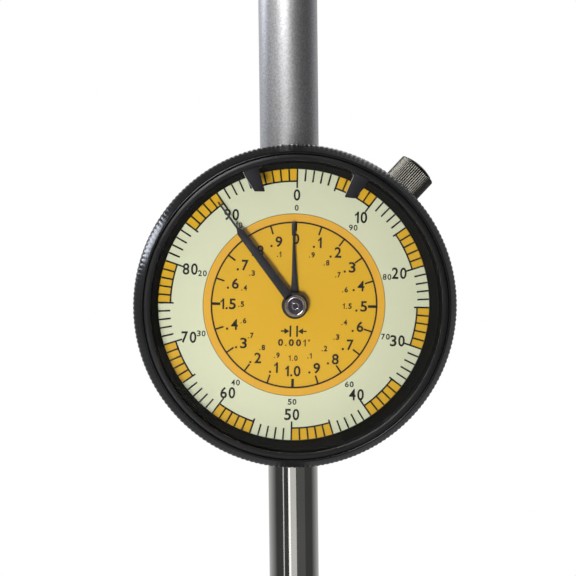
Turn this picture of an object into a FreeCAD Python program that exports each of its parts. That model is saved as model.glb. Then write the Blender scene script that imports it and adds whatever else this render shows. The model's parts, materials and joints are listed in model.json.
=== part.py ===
# Long-travel dial indicator with a 2 in range and 0.001 in graduations.
#
# Units are millimetres. +Z runs up along the spindle, and the dial faces -Y. The origin is on the spindle
# axis, where a clamp holds the stem. "Level" is a height above the dial centre, and "depth" is a place
# along Y, negative towards the reader.
import FreeCAD, Part
import math
import os

import Sketcher
from FreeCAD import Placement, Rotation, Vector

DRIVING = {
    # overall
    "bezel_radius": 30.0,
    "dial_rise": 46.0,
    "travel": 50.8,
    "overtravel": 0.5,
    # stem and spindle
    "stem_radius": 4.7625,
    "stem_reach": 64.0,
    "stem_clear": 0.525,
    "stem_chamfer": 0.4,
    "bush_length": 10.0,
    "bush_wall": 1.2,
    "spindle_radius": 2.375,
    "slide_play": 0.03,
    "spindle_show": 2.7,
    "contact_length": 8.0,
    "contact_radius": 2.1,
    "contact_neck": 1.5,
    "contact_thread": 1.2,
    "contact_stud": 4.0,
    "contact_taper": 3.6,
    "ball_radius": 1.5,
    "ball_seat": 0.9,
    # sleeve above the case
    "sleeve_wall": 1.6,
    "spring_room": 1.625,
    "neck_wall": 1.0,
    "neck_shoulder": 0.3625,
    "neck_cover": 0.35,
    "neck_inset": 0.2,
    "shelf_rise": 0.7,
    "bush_flange": 1.0,
    "buffer_thick": 0.5,
    "buffer_clear": 0.2,
    "buffer_play": 0.1,
    "seat_height": 2.4,
    "seat_play": 0.3,
    "nose_height": 1.0,
    "seat_gap": 0.05,
    "pin_radius": 0.6,
    "pin_engage": 0.75,
    "keyway_depth": 1.0,
    "keyway_play": 0.05,
    "cap_height": 2.5,
    "cap_spigot": 2.0,
    "cap_round": 0.6,
    # return spring
    "wire_radius": 0.2,
    "coil_inset": 0.7,
    "coil_turns": 14.0,
    # case
    "case_wall": 1.8,
    "case_back": 6.5,
    "boss_wall": 0.4375,
    "boss_reach": 2.3,
    "screw_boss": 2.4,
    "boss_bite": 0.3,
    "screw_angle": 20.0,
    "cover_thick": 1.5,
    "lug_width": 6.4,
    "lug_radius": 8.0,
    "lug_reach": 9.0,
    "lug_hole": 3.2,
    # bezel, from its rear edge forwards
    "bezel_gap": 0.3,
    "knurl_wall": 3.44,
    "skirt_step": 1.8,
    "skirt_length": 1.6,
    "bezel_play": 0.06,
    "shoulder_step": 1.1,
    "shoulder_length": 2.1,
    "ring_slope": 0.4,
    "slot_wall": 2.3,
    "lip_width": 0.8,
    "lip_thick": 0.5,
    "marker_slot": 0.6,
    "crystal_inset": 0.3,
    "crystal_thick": 1.2,
    "ledge_width": 0.8,
    "well_depth": 4.7,
    "well_width": 1.2,
    "rim_step": 0.4,
    "ring_clear": 0.2,
    "wire_ring": 0.35,
    "wire_span": 345.0,
    # dial
    "dial_thick": 0.4,
    "dial_play": 0.1,
    "dial_ring_thick": 0.5,
    "dial_ring_width": 2.0,
    "dial_hole": 1.8,
    # limit markers
    "marker_thick": 0.4,
    "marker_width": 1.9,
    "marker_reach": 4.6,
    "marker_root": 0.4,
    "marker_slant": 18.0,
    "marker_foot": 5.0,
    "marker_gap": 0.1,
    "low_limit_angle": -14.65,
    "high_limit_angle": 23.95,
    # bezel clamp screw
    "knob_angle": 44.0,
    "knob_radius": 3.8,
    "knob_height": 6.1,
    "knob_dome": 0.6,
    "knob_tip_inset": 0.1,
    "knob_gap": 0.3,
    "knob_thread": 1.5,
    "thread_play": 0.05,
    "knob_boss": 2.2,
    "washer_thick": 0.4,
    # movement, from the spindle forwards
    "bridge_gap": 1.0,
    "bridge_thick": 1.0,
    "layer_gap": 0.4,
    "gear_thick": 0.6,
    "plate_thick": 0.8,
    "counter_thick": 0.5,
    "plate_play": 0.3,
    "rear_gap": 0.8,
    "pillar_radius": 1.2,
    "pillar_circle": 16.0,
    "pillar_angle": 35.0,
    "second_pillar_angle": 165.0,
    "bridge_reach": 8.5,
    "bridge_width": 4.6,
    "screw_head": 1.5,
    "screw_thread": 0.8,
    "screw_play": 0.1,
    "tap_depth": 2.0,
    "bridge_tap_depth": 1.0,
    "tap_clear": 0.2,
    "plate_screw_length": 3.25,
    "head_height": 0.6,
    "cover_screw_head": 1.95,
    "cover_head_height": 0.9,
    "slot_width": 0.4,
    "slot_depth": 0.3,
    # train
    "rack_sink": 0.475,
    "rack_module": 0.2021268,
    "train_module": 0.2,
    "counter_module": 0.24,
    "pinion_teeth": 20.0,
    "wheel_teeth": 100.0,
    "counter_teeth": 80.0,
    "backlash": 0.05,
    "pressure_angle": 20.0,
    "arbor_radius": 0.5,
    "pivot_radius": 0.3,
    "pivot_play": 0.03,
    "bush_radius": 1.0,
    "pinion_face": 3.0,
    # hands
    "post_radius": 1.0,
    "tube_radius": 1.5,
    "hand_gap": 0.8,
    "hand_thick": 0.25,
    "hand_step": 0.9,
    "hand_root": 0.3,
    "hub_radius": 2.45,
    "hub_cap_radius": 2.0,
    "hub_height": 1.2,
    "hub_step": 0.3,
    "hand_margin": 1.3,
    "needle_length": 7.1,
    "main_width": 1.5,
    "main_taper": 0.9,
    "main_needle": 0.4,
    "main_angle": -35.85,
    "count_length": 15.6,
    "count_root": 1.6,
    "count_waist": 0.35,
    "count_tip": 0.7,
    "count_block": 2.6,
    "count_angle": 1.15,
    # hairspring
    "hair_start": 1.25,
    "hair_pitch": 0.75,
    "hair_turns": 4.0,
    "hair_strip": 0.12,
    "hair_height": 0.4,
    "collet_radius": 1.0,
}

doc = FreeCAD.newDocument("dial_indicator")
sheet = doc.addObject("Spreadsheet::Sheet", "size")
nodes = []


class Size:
    """A number that keeps the sheet formula behind it, so that a property can be bound to it."""

    def __init__(self, value, formula):
        self.value = value
        self.formula = formula

    def __add__(self, other):
        other = as_size(other)
        return Size(self.value + other.value, f"({self.formula} + {other.formula})")

    def __sub__(self, other):
        other = as_size(other)
        return Size(self.value - other.value, f"({self.formula} - {other.formula})")

    def __mul__(self, other):
        other = as_size(other)
        return Size(self.value * other.value, f"({self.formula} * {other.formula})")

    def __truediv__(self, other):
        other = as_size(other)
        return Size(self.value / other.value, f"({self.formula} / {other.formula})")

    def __neg__(self):
        return Size(-self.value, f"(0 - {self.formula})")

    __radd__ = __add__
    __rmul__ = __mul__

    def __rsub__(self, other):
        return as_size(other) - self


def as_size(thing):
    return thing if isinstance(thing, Size) else Size(float(thing), f"{float(thing):.6f}")


def sine(angle):
    return Size(math.sin(math.radians(angle.value)), f"sin({angle.formula} * 1 deg)")


def cosine(angle):
    return Size(math.cos(math.radians(angle.value)), f"cos({angle.formula} * 1 deg)")


def larger(first, second):
    return Size(max(first.value, second.value), f"max({first.formula}; {second.formula})")


def smaller(first, second):
    return Size(min(first.value, second.value), f"min({first.formula}; {second.formula})")


class Cells:
    """The sheet's cells by name."""

    def __getattr__(self, name):
        return Size(float(DRIVING[name]), f"size.{name}")


def fill_sheet():
    for row, (name, value) in enumerate(DRIVING.items(), start=1):
        sheet.set(f"A{row}", name)
        sheet.set(f"B{row}", str(value))
        sheet.setAlias(f"B{row}", name)
    doc.recompute()


fill_sheet()
s = Cells()
FULL_TURN = 360
DEDENDUM = 1.25
SPARE_RACK_TEETH = 5
OVERRUN = as_size(0.5)
NONE = as_size(0)
CENTRE = (NONE, NONE, NONE)
ALONG_Y = Rotation(Vector(1, 0, 0), -90)
ALONG_X = Rotation(Vector(0, 1, 0), 90)
UPRIGHT = Rotation()


# --- helpers -------------------------------------------------------------------------------------------


def node(thing, label):
    """Marks an object as a sub-part, whose label names its file."""
    thing.Label = label
    nodes.append(thing)
    return thing


def bind(thing, name, size):
    thing.setExpression(name, as_size(size).formula)


def place(thing, point, rotation=UPRIGHT):
    """Puts an object at a point given relative to the dial centre."""
    thing.Placement = Placement(Vector(), rotation)
    x, y, z = point
    bind(thing, "Placement.Base.x", x)
    bind(thing, "Placement.Base.y", y)
    bind(thing, "Placement.Base.z", s.dial_rise + z)
    return thing


def origin_plane(body, role):
    return next(feature for feature in body.Origin.OriginFeatures if feature.Role == role)


def closed_sketch(body, role, outline):
    """A closed outline of straight lines, with each corner held by two bound distances."""
    sketch = body.newObject("Sketcher::SketchObject", "Outline")
    sketch.AttachmentSupport = [(origin_plane(body, role), "")]
    sketch.MapMode = "FlatFace"
    corners = [(as_size(across), as_size(up)) for across, up in outline]
    count = len(corners)
    flat = [Vector(across.value, up.value, 0) for across, up in corners]
    for index in range(count):
        sketch.addGeometry(Part.LineSegment(flat[index], flat[(index + 1) % count]))
    for index in range(count):
        sketch.addConstraint(Sketcher.Constraint("Coincident", index, 2, (index + 1) % count, 1))
    for index, (across, up) in enumerate(corners):
        for kind, size in (("DistanceX", across), ("DistanceY", up)):
            held = sketch.addConstraint(Sketcher.Constraint(kind, -1, 1, index, 1, size.value))
            bind(sketch, f"Constraints[{held}]", size)
    return sketch


def turned(name, outline, point=CENTRE, role="XZ_Plane"):
    """A revolved body. The outline is (radius, place along the axis): the axis is Z, or Y on XY_Plane."""
    body = doc.addObject("PartDesign::Body", name)
    sketch = closed_sketch(body, role, outline)
    turn = body.newObject("PartDesign::Revolution", "Turn")
    turn.Profile = sketch
    turn.ReferenceAxis = (sketch, ["V_Axis"])
    turn.Angle = FULL_TURN
    return place(body, point)


def facing(name, outline, point=CENTRE):
    """A revolved body about the Y axis through a point."""
    return turned(name, outline, point, "XY_Plane")


def padded(name, outline, back, front, point=CENTRE):
    """A flat plate in the XZ plane, between two depths."""
    body = doc.addObject("PartDesign::Body", name)
    sketch = closed_sketch(body, "XZ_Plane", outline)
    pad = body.newObject("PartDesign::Pad", "Plate")
    pad.Profile = sketch
    bind(pad, "Length", back - front)
    x, _, z = point
    pad.Reversed = True
    return place(body, (x, front, z))


def cylinder(name, radius, length, point, rotation=UPRIGHT):
    made = doc.addObject("Part::Cylinder", name)
    bind(made, "Radius", radius)
    bind(made, "Height", length)
    return place(made, point, rotation)


def rod(name, radius, front, back, x, z):
    """A cylinder along Y between two depths."""
    return cylinder(name, radius, back - front, (x, front, z), ALONG_Y)


def through_hole(name, radius, front, back, x, z):
    """A cutting cylinder along Y that runs past both faces of a plate."""
    return rod(name, radius, front - OVERRUN, back + OVERRUN, x, z)


def box(name, low, high):
    made = doc.addObject("Part::Box", name)
    for side, start, end in zip(("Length", "Width", "Height"), low, high):
        bind(made, side, as_size(end) - as_size(start))
    return place(made, tuple(as_size(value) for value in low))


def ring(name, major, minor, depth):
    """A torus about the Y axis."""
    made = doc.addObject("Part::Torus", name)
    bind(made, "Radius1", major)
    bind(made, "Radius2", minor)
    return place(made, (NONE, depth, NONE), ALONG_Y)


def wire_groove(name, inner, outer):
    """A ring of rectangular section for the groove that the bezel's retaining wire lies in."""
    back = wire_depth + s.wire_ring + s.bezel_play
    front = wire_depth - s.wire_ring - s.bezel_play
    return facing(name, [(inner, front), (outer, front), (outer, back), (inner, back)])


def fused(name, things):
    made = doc.addObject("Part::MultiFuse", name)
    made.Shapes = things
    return made


def cut(name, base, tools):
    made = doc.addObject("Part::Cut", name)
    made.Base = base
    made.Tool = tools[0] if len(tools) == 1 else fused(name + "_tools", tools)
    return made


def group(name, things):
    made = doc.addObject("Part::Compound", name)
    made.Links = things
    return made


def around(radius, angle):
    """A point at a radius and an angle from +X towards +Z, about the dial centre."""
    return radius * cosine(angle), radius * sine(angle)


def slotted_screw(name, head, height, thread, length, seat, x, z, outward):
    """A screw along Y whose head sits on the seat depth; outward is +1 towards the back, -1 to the front."""
    top = seat + outward * height
    tail = seat - outward * length
    low, high = (seat, top) if outward > 0 else (top, seat)
    cap = rod(name + "_head", head, low, high, x, z)
    low, high = (tail, seat) if outward > 0 else (seat, tail)
    shank = rod(name + "_shank", thread, low, high, x, z)
    floor = top - outward * s.slot_depth
    low, high = (floor, top + s.slot_depth) if outward > 0 else (top - s.slot_depth, floor)
    half = s.slot_width / 2
    groove = box(name + "_slot", (x - head, low, z - half), (x + head, high, z + half))
    return cut(name, fused(name + "_solid", [cap, shank]), [groove])


# --- places that several pieces share ------------------------------------------------------------------

# radii along the spindle
slide_radius = s.spindle_radius + s.slide_play
bush_radius = slide_radius + s.bush_wall
stem_neck_radius = s.stem_radius - s.neck_shoulder
upper_bush_radius = slide_radius + s.neck_wall
neck_radius = upper_bush_radius + s.neck_wall
sleeve_bore = s.spindle_radius + s.spring_room
sleeve_radius = sleeve_bore + s.sleeve_wall
seat_radius = sleeve_bore - s.seat_play
coil_radius = sleeve_bore - s.coil_inset

# radii of the bezel and the case, from the knurl inwards
bezel_bore = s.bezel_radius - s.knurl_wall
skirt_radius = s.bezel_radius - s.skirt_step
shoulder_radius = s.bezel_radius - s.shoulder_step
slot_radius = s.bezel_radius - s.slot_wall
lip_radius = slot_radius - s.lip_width
crystal_radius = slot_radius - s.crystal_inset
ledge_radius = crystal_radius - s.ledge_width
window_radius = ledge_radius - s.well_width
case_radius = bezel_bore - s.bezel_play
case_inner = case_radius - s.case_wall
boss_radius = larger(s.stem_radius, neck_radius + s.neck_cover) + s.boss_wall
boss_top = case_radius + s.boss_reach
boss_circle = case_inner - s.screw_boss + s.boss_bite

# depths of the bezel, from the rear edge forwards
skirt_rear = -(boss_radius + s.bezel_gap)
knurl_rear = skirt_rear - s.skirt_length
case_front = knurl_rear - s.rim_step
dial_ring_back = case_front - s.ring_clear
dial_back = dial_ring_back - s.dial_ring_thick
dial_face = dial_back - s.dial_thick
crystal_back = dial_face - s.well_depth
crystal_front = crystal_back - s.crystal_thick
slot_front = crystal_front - s.marker_slot
bezel_front = slot_front - s.lip_thick
ring_rim = bezel_front + s.ring_slope
knurl_front = ring_rim + s.shoulder_length
wire_depth = (skirt_rear + knurl_rear) / 2

# depths of the movement
bridge_back = -(s.spindle_radius + s.bridge_gap)
bridge_front = bridge_back - s.bridge_thick
gear_back = bridge_front - s.layer_gap
gear_front = gear_back - s.gear_thick
plate_back = gear_front - s.layer_gap
plate_front = plate_back - s.plate_thick
counter_back = plate_front - s.layer_gap
counter_front = counter_back - s.counter_thick
rear_front = s.spindle_radius + s.rear_gap
rear_back = rear_front + s.plate_thick
cover_back = s.case_back + s.cover_thick

# depths of the hands
count_back = dial_face - s.hand_gap
count_front = count_back - s.hand_thick
main_back = count_front - s.hand_step
main_front = main_back - s.hand_thick
hub_front = main_front - s.hub_height

# train: the rack arbor is on one side of the dial centre, and the take-up arbor opposite
rack_pitch_radius = s.rack_module * s.pinion_teeth / 2
centre_distance = s.train_module * (s.pinion_teeth + s.wheel_teeth) / 2
rack_line = s.spindle_radius - s.rack_sink
arbor_x = -(rack_line + rack_pitch_radius)
arbor_angle = math.degrees(math.acos(arbor_x.value / centre_distance.value))
arbor_z = Size(
    centre_distance.value * math.sin(math.radians(arbor_angle)),
    f"sqrt({centre_distance.formula} ^ 2 - {arbor_x.formula} ^ 2)",
)
takeup_x = -arbor_x
takeup_z = -arbor_z

# levels of the spindle and its sleeve, at rest
neck_foot = case_inner - s.neck_inset
buffer_foot = boss_top + s.shelf_rise
seat_foot = buffer_foot + s.buffer_thick + s.seat_gap
seat_top = seat_foot + s.seat_height
spindle_top = seat_top + s.nose_height
full_travel = s.travel + s.overtravel
spring_solid = s.coil_turns * s.wire_radius * 2 + s.wire_radius
spring_top = seat_top + full_travel + spring_solid
sleeve_end = spring_top + s.cap_spigot
cap_top = sleeve_end + s.cap_height
spindle_foot = -(s.stem_reach + full_travel + s.spindle_show)
contact_foot = spindle_foot - s.contact_length


# --- case ----------------------------------------------------------------------------------------------


def screw_places():
    """The four bosses, left and right, above and below the middle."""
    x, z = around(boss_circle, s.screw_angle)
    return [(x, z), (-x, z), (-x, -z), (x, -z)]


def case_body():
    shell = rod("case_barrel", case_radius, case_front, s.case_back, NONE, NONE)
    top = cylinder("case_top_boss", boss_radius, s.boss_reach + s.case_wall, (NONE, NONE, case_inner))
    bottom = cylinder("case_foot_boss", boss_radius, s.boss_reach + s.case_wall, (NONE, NONE, -boss_top))
    knob_boss = knob_part(cylinder("case_knob_boss", s.knob_boss, skirt_radius - case_inner, CENTRE),
                          case_inner)
    outside = fused("case_outside", [shell, top, bottom, knob_boss])
    cavity = rod("case_cavity", case_inner, case_front - s.rim_step, s.case_back + s.rim_step, NONE, NONE)
    groove = wire_groove("case_groove", case_radius - s.wire_ring, bezel_bore)
    reach = boss_top + s.boss_reach
    neck_hole = cylinder("case_neck_hole", neck_radius, reach, CENTRE)
    stem_hole = cylinder("case_stem_hole", stem_neck_radius, reach, (NONE, NONE, -reach))
    knob_hole = knob_part(cylinder("case_knob_hole", s.knob_thread + s.thread_play, reach, CENTRE), NONE)
    walls = cut("case_walls", outside, [cavity, groove, neck_hole, stem_hole, knob_hole])
    bosses = [rod(f"case_boss_{index}", s.screw_boss, plate_back, s.case_back, x, z)
              for index, (x, z) in enumerate(screw_places())]
    holes = [rod(f"case_tapped_{index}", s.screw_thread, plate_front, s.case_back + s.rim_step, x, z)
             for index, (x, z) in enumerate(screw_places())]
    node(cut("case", fused("case_bossed", [walls] + bosses), holes), "case_body")


def back_cover():
    disc = rod("cover_disc", case_radius, s.case_back, cover_back, NONE, NONE)
    half = s.lug_width / 2
    hole_depth = cover_back + s.lug_reach
    web = box("lug_web", (-half, cover_back - OVERRUN, -s.lug_radius), (half, hole_depth, s.lug_radius))
    nose = cylinder("lug_nose", s.lug_radius, s.lug_width, (-half, hole_depth, NONE), ALONG_X)
    hole = cylinder("lug_hole_tool", s.lug_hole, s.lug_width * 2, (-s.lug_width, hole_depth, NONE), ALONG_X)
    holes = [through_hole(f"cover_hole_{index}", s.screw_thread + s.screw_play, s.case_back, cover_back, x, z)
             for index, (x, z) in enumerate(screw_places())]
    node(cut("cover", fused("cover_solid", [disc, web, nose]), [hole] + holes), "back_cover")
    screws = [slotted_screw(f"cover_screw_{index}", s.cover_screw_head, s.cover_head_height, s.screw_thread,
                            s.case_back, cover_back, x, z, 1) for index, (x, z) in enumerate(screw_places())]
    node(group("cover_screws", screws), "back_cover_screws")


# --- bezel clamp screw ---------------------------------------------------------------------------------

knob_depth = knurl_rear + s.knob_gap + s.knob_radius
DOME_ANGLES = [as_size(32), as_size(60)]


def knob_part(thing, level):
    """Turns a piece that is made upright out to the clamp screw's place on the rim."""
    turn = Rotation(Vector(0, 1, 0), s.knob_angle.value)
    thing.Placement = Placement(Vector(), turn)
    bind(thing, "Placement.Rotation.Angle", s.knob_angle)
    bind(thing, "Placement.Base.x", level * sine(s.knob_angle))
    bind(thing, "Placement.Base.y", knob_depth)
    bind(thing, "Placement.Base.z", s.dial_rise + level * cosine(s.knob_angle))
    return thing


def clamp_screw():
    foot = skirt_radius + s.knob_gap
    washer_top = foot + s.washer_thick
    seat = washer_top + s.thread_play
    rim = seat + s.knob_height
    tip = case_inner + s.knob_tip_inset
    dome = [(s.knob_radius * cosine(lean), rim + s.knob_dome * sine(lean)) for lean in DOME_ANGLES]
    body = turned("clamp_knob", [
        (NONE, tip), (s.knob_thread, tip), (s.knob_thread, seat), (s.knob_radius, seat),
        (s.knob_radius, rim)] + dome + [(NONE, rim + s.knob_dome)])
    node(knob_part(body, NONE), "bezel_clamp_screw")
    hole = s.knob_thread + s.thread_play
    washer = turned("washer", [
        (hole, foot), (s.knob_radius, foot), (s.knob_radius, washer_top), (hole, washer_top)])
    node(knob_part(washer, NONE), "clamp_washer")


# --- stem, sleeve and spindle --------------------------------------------------------------------------


def stem():
    foot = -s.stem_reach
    head = -neck_foot
    shelf = foot + s.bush_length
    bore = s.spindle_radius + s.stem_clear
    edge = smaller(s.stem_chamfer, (s.stem_radius - bush_radius) / 2)
    node(turned("stem_tube", [
        (bush_radius, foot), (s.stem_radius - edge, foot), (s.stem_radius, foot + edge),
        (s.stem_radius, -boss_top), (stem_neck_radius, -boss_top), (stem_neck_radius, head), (bore, head),
        (bore, shelf), (bush_radius, shelf)]), "stem")
    node(turned("stem_lower_bush", [
        (slide_radius, foot), (bush_radius, foot), (bush_radius, shelf), (slide_radius, shelf)]), "stem_bush")


def sleeve():
    shell = turned("sleeve_tube", [
        (upper_bush_radius, neck_foot), (neck_radius, neck_foot), (neck_radius, boss_top),
        (sleeve_radius, boss_top), (sleeve_radius, sleeve_end), (sleeve_bore, sleeve_end),
        (sleeve_bore, buffer_foot), (upper_bush_radius, buffer_foot)])
    half = s.pin_radius + s.keyway_play
    keyway = box("keyway_tool", (-half, NONE, buffer_foot + s.keyway_play),
                 (half, sleeve_bore + s.keyway_depth, seat_top + full_travel))
    node(cut("sleeve", shell, [keyway]), "spindle_sleeve")
    node(turned("upper_spindle_bush", [
        (slide_radius, neck_foot - s.bush_flange), (neck_radius, neck_foot - s.bush_flange),
        (neck_radius, neck_foot), (upper_bush_radius, neck_foot), (upper_bush_radius, buffer_foot),
        (slide_radius, buffer_foot)]), "upper_bush")
    buffer_top = buffer_foot + s.buffer_thick
    buffer_hole = slide_radius + s.buffer_clear
    buffer_rim = sleeve_bore - s.buffer_play
    node(turned("buffer_washer", [
        (buffer_hole, buffer_foot), (buffer_rim, buffer_foot), (buffer_rim, buffer_top),
        (buffer_hole, buffer_top)]), "stop_buffer")
    node(turned("cap_plug", [
        (NONE, spring_top), (sleeve_bore, spring_top), (sleeve_bore, sleeve_end),
        (sleeve_radius, sleeve_end), (sleeve_radius, cap_top - s.cap_round),
        (sleeve_radius - s.cap_round, cap_top), (NONE, cap_top)]), "sleeve_cap")


def spindle():
    """A round rod with a rack down its left side."""
    body = turned("spindle_rod", [
        (NONE, spindle_foot + s.contact_stud), (s.contact_thread, spindle_foot + s.contact_stud),
        (s.contact_thread, spindle_foot), (s.spindle_radius, spindle_foot), (s.spindle_radius, spindle_top),
        (NONE, spindle_top)])
    doc.recompute()
    tip = rack_line + s.rack_module
    root = rack_line - DEDENDUM * s.rack_module
    pitch = math.pi * s.rack_module
    teeth = math.ceil(full_travel.value / pitch.value) + SPARE_RACK_TEETH
    low = arbor_z - (teeth - 3) * pitch
    high = low + (teeth - 1) * pitch
    outside = s.spindle_radius + OVERRUN
    flat = closed_sketch(body, "XZ_Plane", [
        (-outside, low - pitch / 2), (-tip, low - pitch / 2), (-tip, high + pitch / 2),
        (-outside, high + pitch / 2)])
    through_pocket(body, flat, "RackFlat")
    slope = math.tan(math.radians(s.pressure_angle.value))
    half_gap = pitch / 4 + s.backlash / 4
    mouth = half_gap + s.rack_module * slope
    floor = half_gap - DEDENDUM * s.rack_module * slope
    over = tip + s.rack_module / 2
    beyond = mouth + s.rack_module / 2 * slope
    gap = closed_sketch(body, "XZ_Plane", [
        (-over, low - beyond), (-root, low - floor), (-root, low + floor), (-over, low + beyond)])
    tooth_gap = through_pocket(body, gap, "RackGap")
    repeat = body.newObject("PartDesign::LinearPattern", "Rack")
    repeat.Originals = [tooth_gap]
    repeat.Direction = (gap, ["V_Axis"])
    bind(repeat, "Length", (teeth - 1) * pitch)
    repeat.Occurrences = teeth
    body.Tip = repeat
    node(body, "spindle")


def through_pocket(body, sketch, name):
    pocket = body.newObject("PartDesign::Pocket", name)
    pocket.Profile = sketch
    pocket.Type = "ThroughAll"
    pocket.Midplane = True
    doc.recompute()
    return pocket


def spindle_fittings():
    collar = turned("seat_collar", [
        (s.spindle_radius, seat_foot), (seat_radius, seat_foot), (seat_radius, seat_top),
        (s.spindle_radius, seat_top)])
    middle = (seat_foot + seat_top) / 2
    pin = cylinder("guide", s.pin_radius, s.spring_room + s.pin_engage, (NONE, s.spindle_radius, middle),
                   ALONG_Y)
    node(cut("seat", collar, [pin]), "spring_seat")
    node(pin, "guide_pin")
    collar = spindle_foot - s.contact_taper
    ball_level = contact_foot + s.ball_radius
    cup = ball_level + s.ball_seat
    holder = turned("contact_holder", [
        (NONE, cup), (s.contact_neck, cup), (s.contact_radius, collar), (s.contact_radius, spindle_foot),
        (s.contact_thread, spindle_foot), (s.contact_thread, spindle_foot + s.contact_stud),
        (NONE, spindle_foot + s.contact_stud)])
    ball = doc.addObject("Part::Sphere", "contact_tip")
    bind(ball, "Radius", s.ball_radius)
    place(ball, (NONE, NONE, ball_level))
    node(cut("contact", holder, [ball]), "contact_point")
    node(ball, "contact_ball")


def return_spring():
    body = doc.addObject("PartDesign::Body", "spring_coil")
    sketch = body.newObject("Sketcher::SketchObject", "Wire")
    sketch.AttachmentSupport = [(origin_plane(body, "XZ_Plane"), "")]
    sketch.MapMode = "FlatFace"
    wire = Part.Circle(Vector(coil_radius.value, 0, 0), Vector(0, 0, 1), s.wire_radius.value)
    sketch.addGeometry(wire)
    held = sketch.addConstraint(Sketcher.Constraint("Radius", 0, s.wire_radius.value))
    bind(sketch, f"Constraints[{held}]", s.wire_radius)
    held = sketch.addConstraint(Sketcher.Constraint("DistanceX", -1, 1, 0, 3, coil_radius.value))
    bind(sketch, f"Constraints[{held}]", coil_radius)
    sketch.addConstraint(Sketcher.Constraint("PointOnObject", 0, 3, -1))
    height = spring_top - seat_top - 2 * s.wire_radius
    coil = body.newObject("PartDesign::AdditiveHelix", "Coil")
    coil.Profile = sketch
    coil.ReferenceAxis = (sketch, ["V_Axis"])
    coil.Mode = "pitch-height-angle"
    bind(coil, "Pitch", height / s.coil_turns)
    bind(coil, "Height", height)
    node(place(body, (NONE, NONE, seat_top + s.wire_radius)), "return_spring")


# --- movement ------------------------------------------------------------------------------------------


def pillar_places():
    first = around(s.pillar_circle, s.pillar_angle)
    second = around(s.pillar_circle, s.second_pillar_angle)
    return [first, (-first[0], -first[1]), second, (-second[0], -second[1])]


def plates():
    disc = rod("front_disc", case_inner - s.plate_play, plate_front, plate_back, NONE, NONE)
    play_radius = s.screw_thread + s.screw_play
    holes = [through_hole(f"front_hole_{index}", play_radius, plate_front, plate_back, x, z)
             for index, (x, z) in enumerate(screw_places())]
    seats = [("post", s.post_radius, NONE, NONE), ("rack", s.bush_radius, arbor_x, arbor_z),
             ("takeup", s.bush_radius, takeup_x, takeup_z)]
    holes += [through_hole(f"front_{name}_hole", radius, plate_front, plate_back, x, z)
              for name, radius, x, z in seats]
    node(cut("front", disc, holes), "front_plate")
    screws = [slotted_screw(f"plate_screw_{index}", s.screw_head, s.head_height, s.screw_thread,
                            s.plate_screw_length, plate_front, x, z, -1)
              for index, (x, z) in enumerate(screw_places())]
    node(group("front_screws", screws), "plate_screws")

    rear_radius = boss_circle - s.screw_boss - s.pillar_radius
    disc = rod("rear_disc", rear_radius, rear_front, rear_back, NONE, NONE)
    holes = [through_hole("rear_rack_hole", s.bush_radius, rear_front, rear_back, arbor_x, arbor_z),
             through_hole("rear_takeup_hole", s.bush_radius, rear_front, rear_back, takeup_x, takeup_z)]
    holes += [through_hole(f"rear_hole_{index}", s.screw_thread, rear_front, rear_back, x, z)
              for index, (x, z) in enumerate(pillar_places())]
    node(cut("rear", disc, holes), "rear_plate")
    pillars = []
    for index, (x, z) in enumerate(pillar_places()):
        post = rod(f"pillar_{index}", s.pillar_radius, plate_back, rear_front, x, z)
        thread = rod(f"pillar_hole_{index}", s.screw_thread, rear_front - s.tap_depth, rear_front + OVERRUN,
                     x, z)
        pillars.append(cut(f"pillar_tapped_{index}", post, [thread]))
    node(group("pillars", pillars), "plate_pillars")
    length = s.plate_thick + s.tap_depth - s.tap_clear
    screws = [slotted_screw(f"rear_screw_{index}", s.screw_head, s.head_height, s.screw_thread, length,
                            rear_back, x, z, 1) for index, (x, z) in enumerate(pillar_places())]
    node(group("rear_screws", screws), "rear_plate_screws")


def centre_bridge():
    reach = s.bridge_reach + s.bridge_width / 2
    half = s.bridge_width / 2
    corner = half * 0.5
    bar = padded("bridge_bar", [
        (-reach, -corner), (-reach + corner, -half), (reach - corner, -half), (reach, -corner),
        (reach, corner), (reach - corner, half), (-reach + corner, half), (-reach, corner)],
        bridge_back, bridge_front)
    holes = [through_hole("bridge_centre_hole", s.bush_radius, bridge_front, bridge_back, NONE, NONE)]
    sides = [("left", -s.bridge_reach), ("right", s.bridge_reach)]
    holes += [through_hole(f"bridge_hole_{side}", s.screw_thread, bridge_front, bridge_back, x, NONE)
              for side, x in sides]
    node(cut("bridge", bar, holes), "centre_bridge")
    posts = [rod(f"bridge_post_{side}", s.pillar_radius, plate_back, bridge_front, x, NONE)
             for side, x in sides]
    threads = [rod(f"bridge_thread_{side}", s.screw_thread, bridge_front - s.bridge_tap_depth,
                   bridge_front + OVERRUN, x, NONE) for side, x in sides]
    tapped = [cut(f"bridge_tapped_{side}", post, [thread])
              for post, thread, (side, _) in zip(posts, threads, sides)]
    node(group("bridge_posts", tapped), "bridge_pillars")
    length = s.bridge_thick + s.bridge_tap_depth - s.tap_clear
    screws = [slotted_screw(f"bridge_screw_{side}", s.screw_head, s.head_height, s.screw_thread, length,
                            bridge_back, x, NONE, 1) for side, x in sides]
    node(group("bridge_fixings", screws), "bridge_screws")


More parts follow.
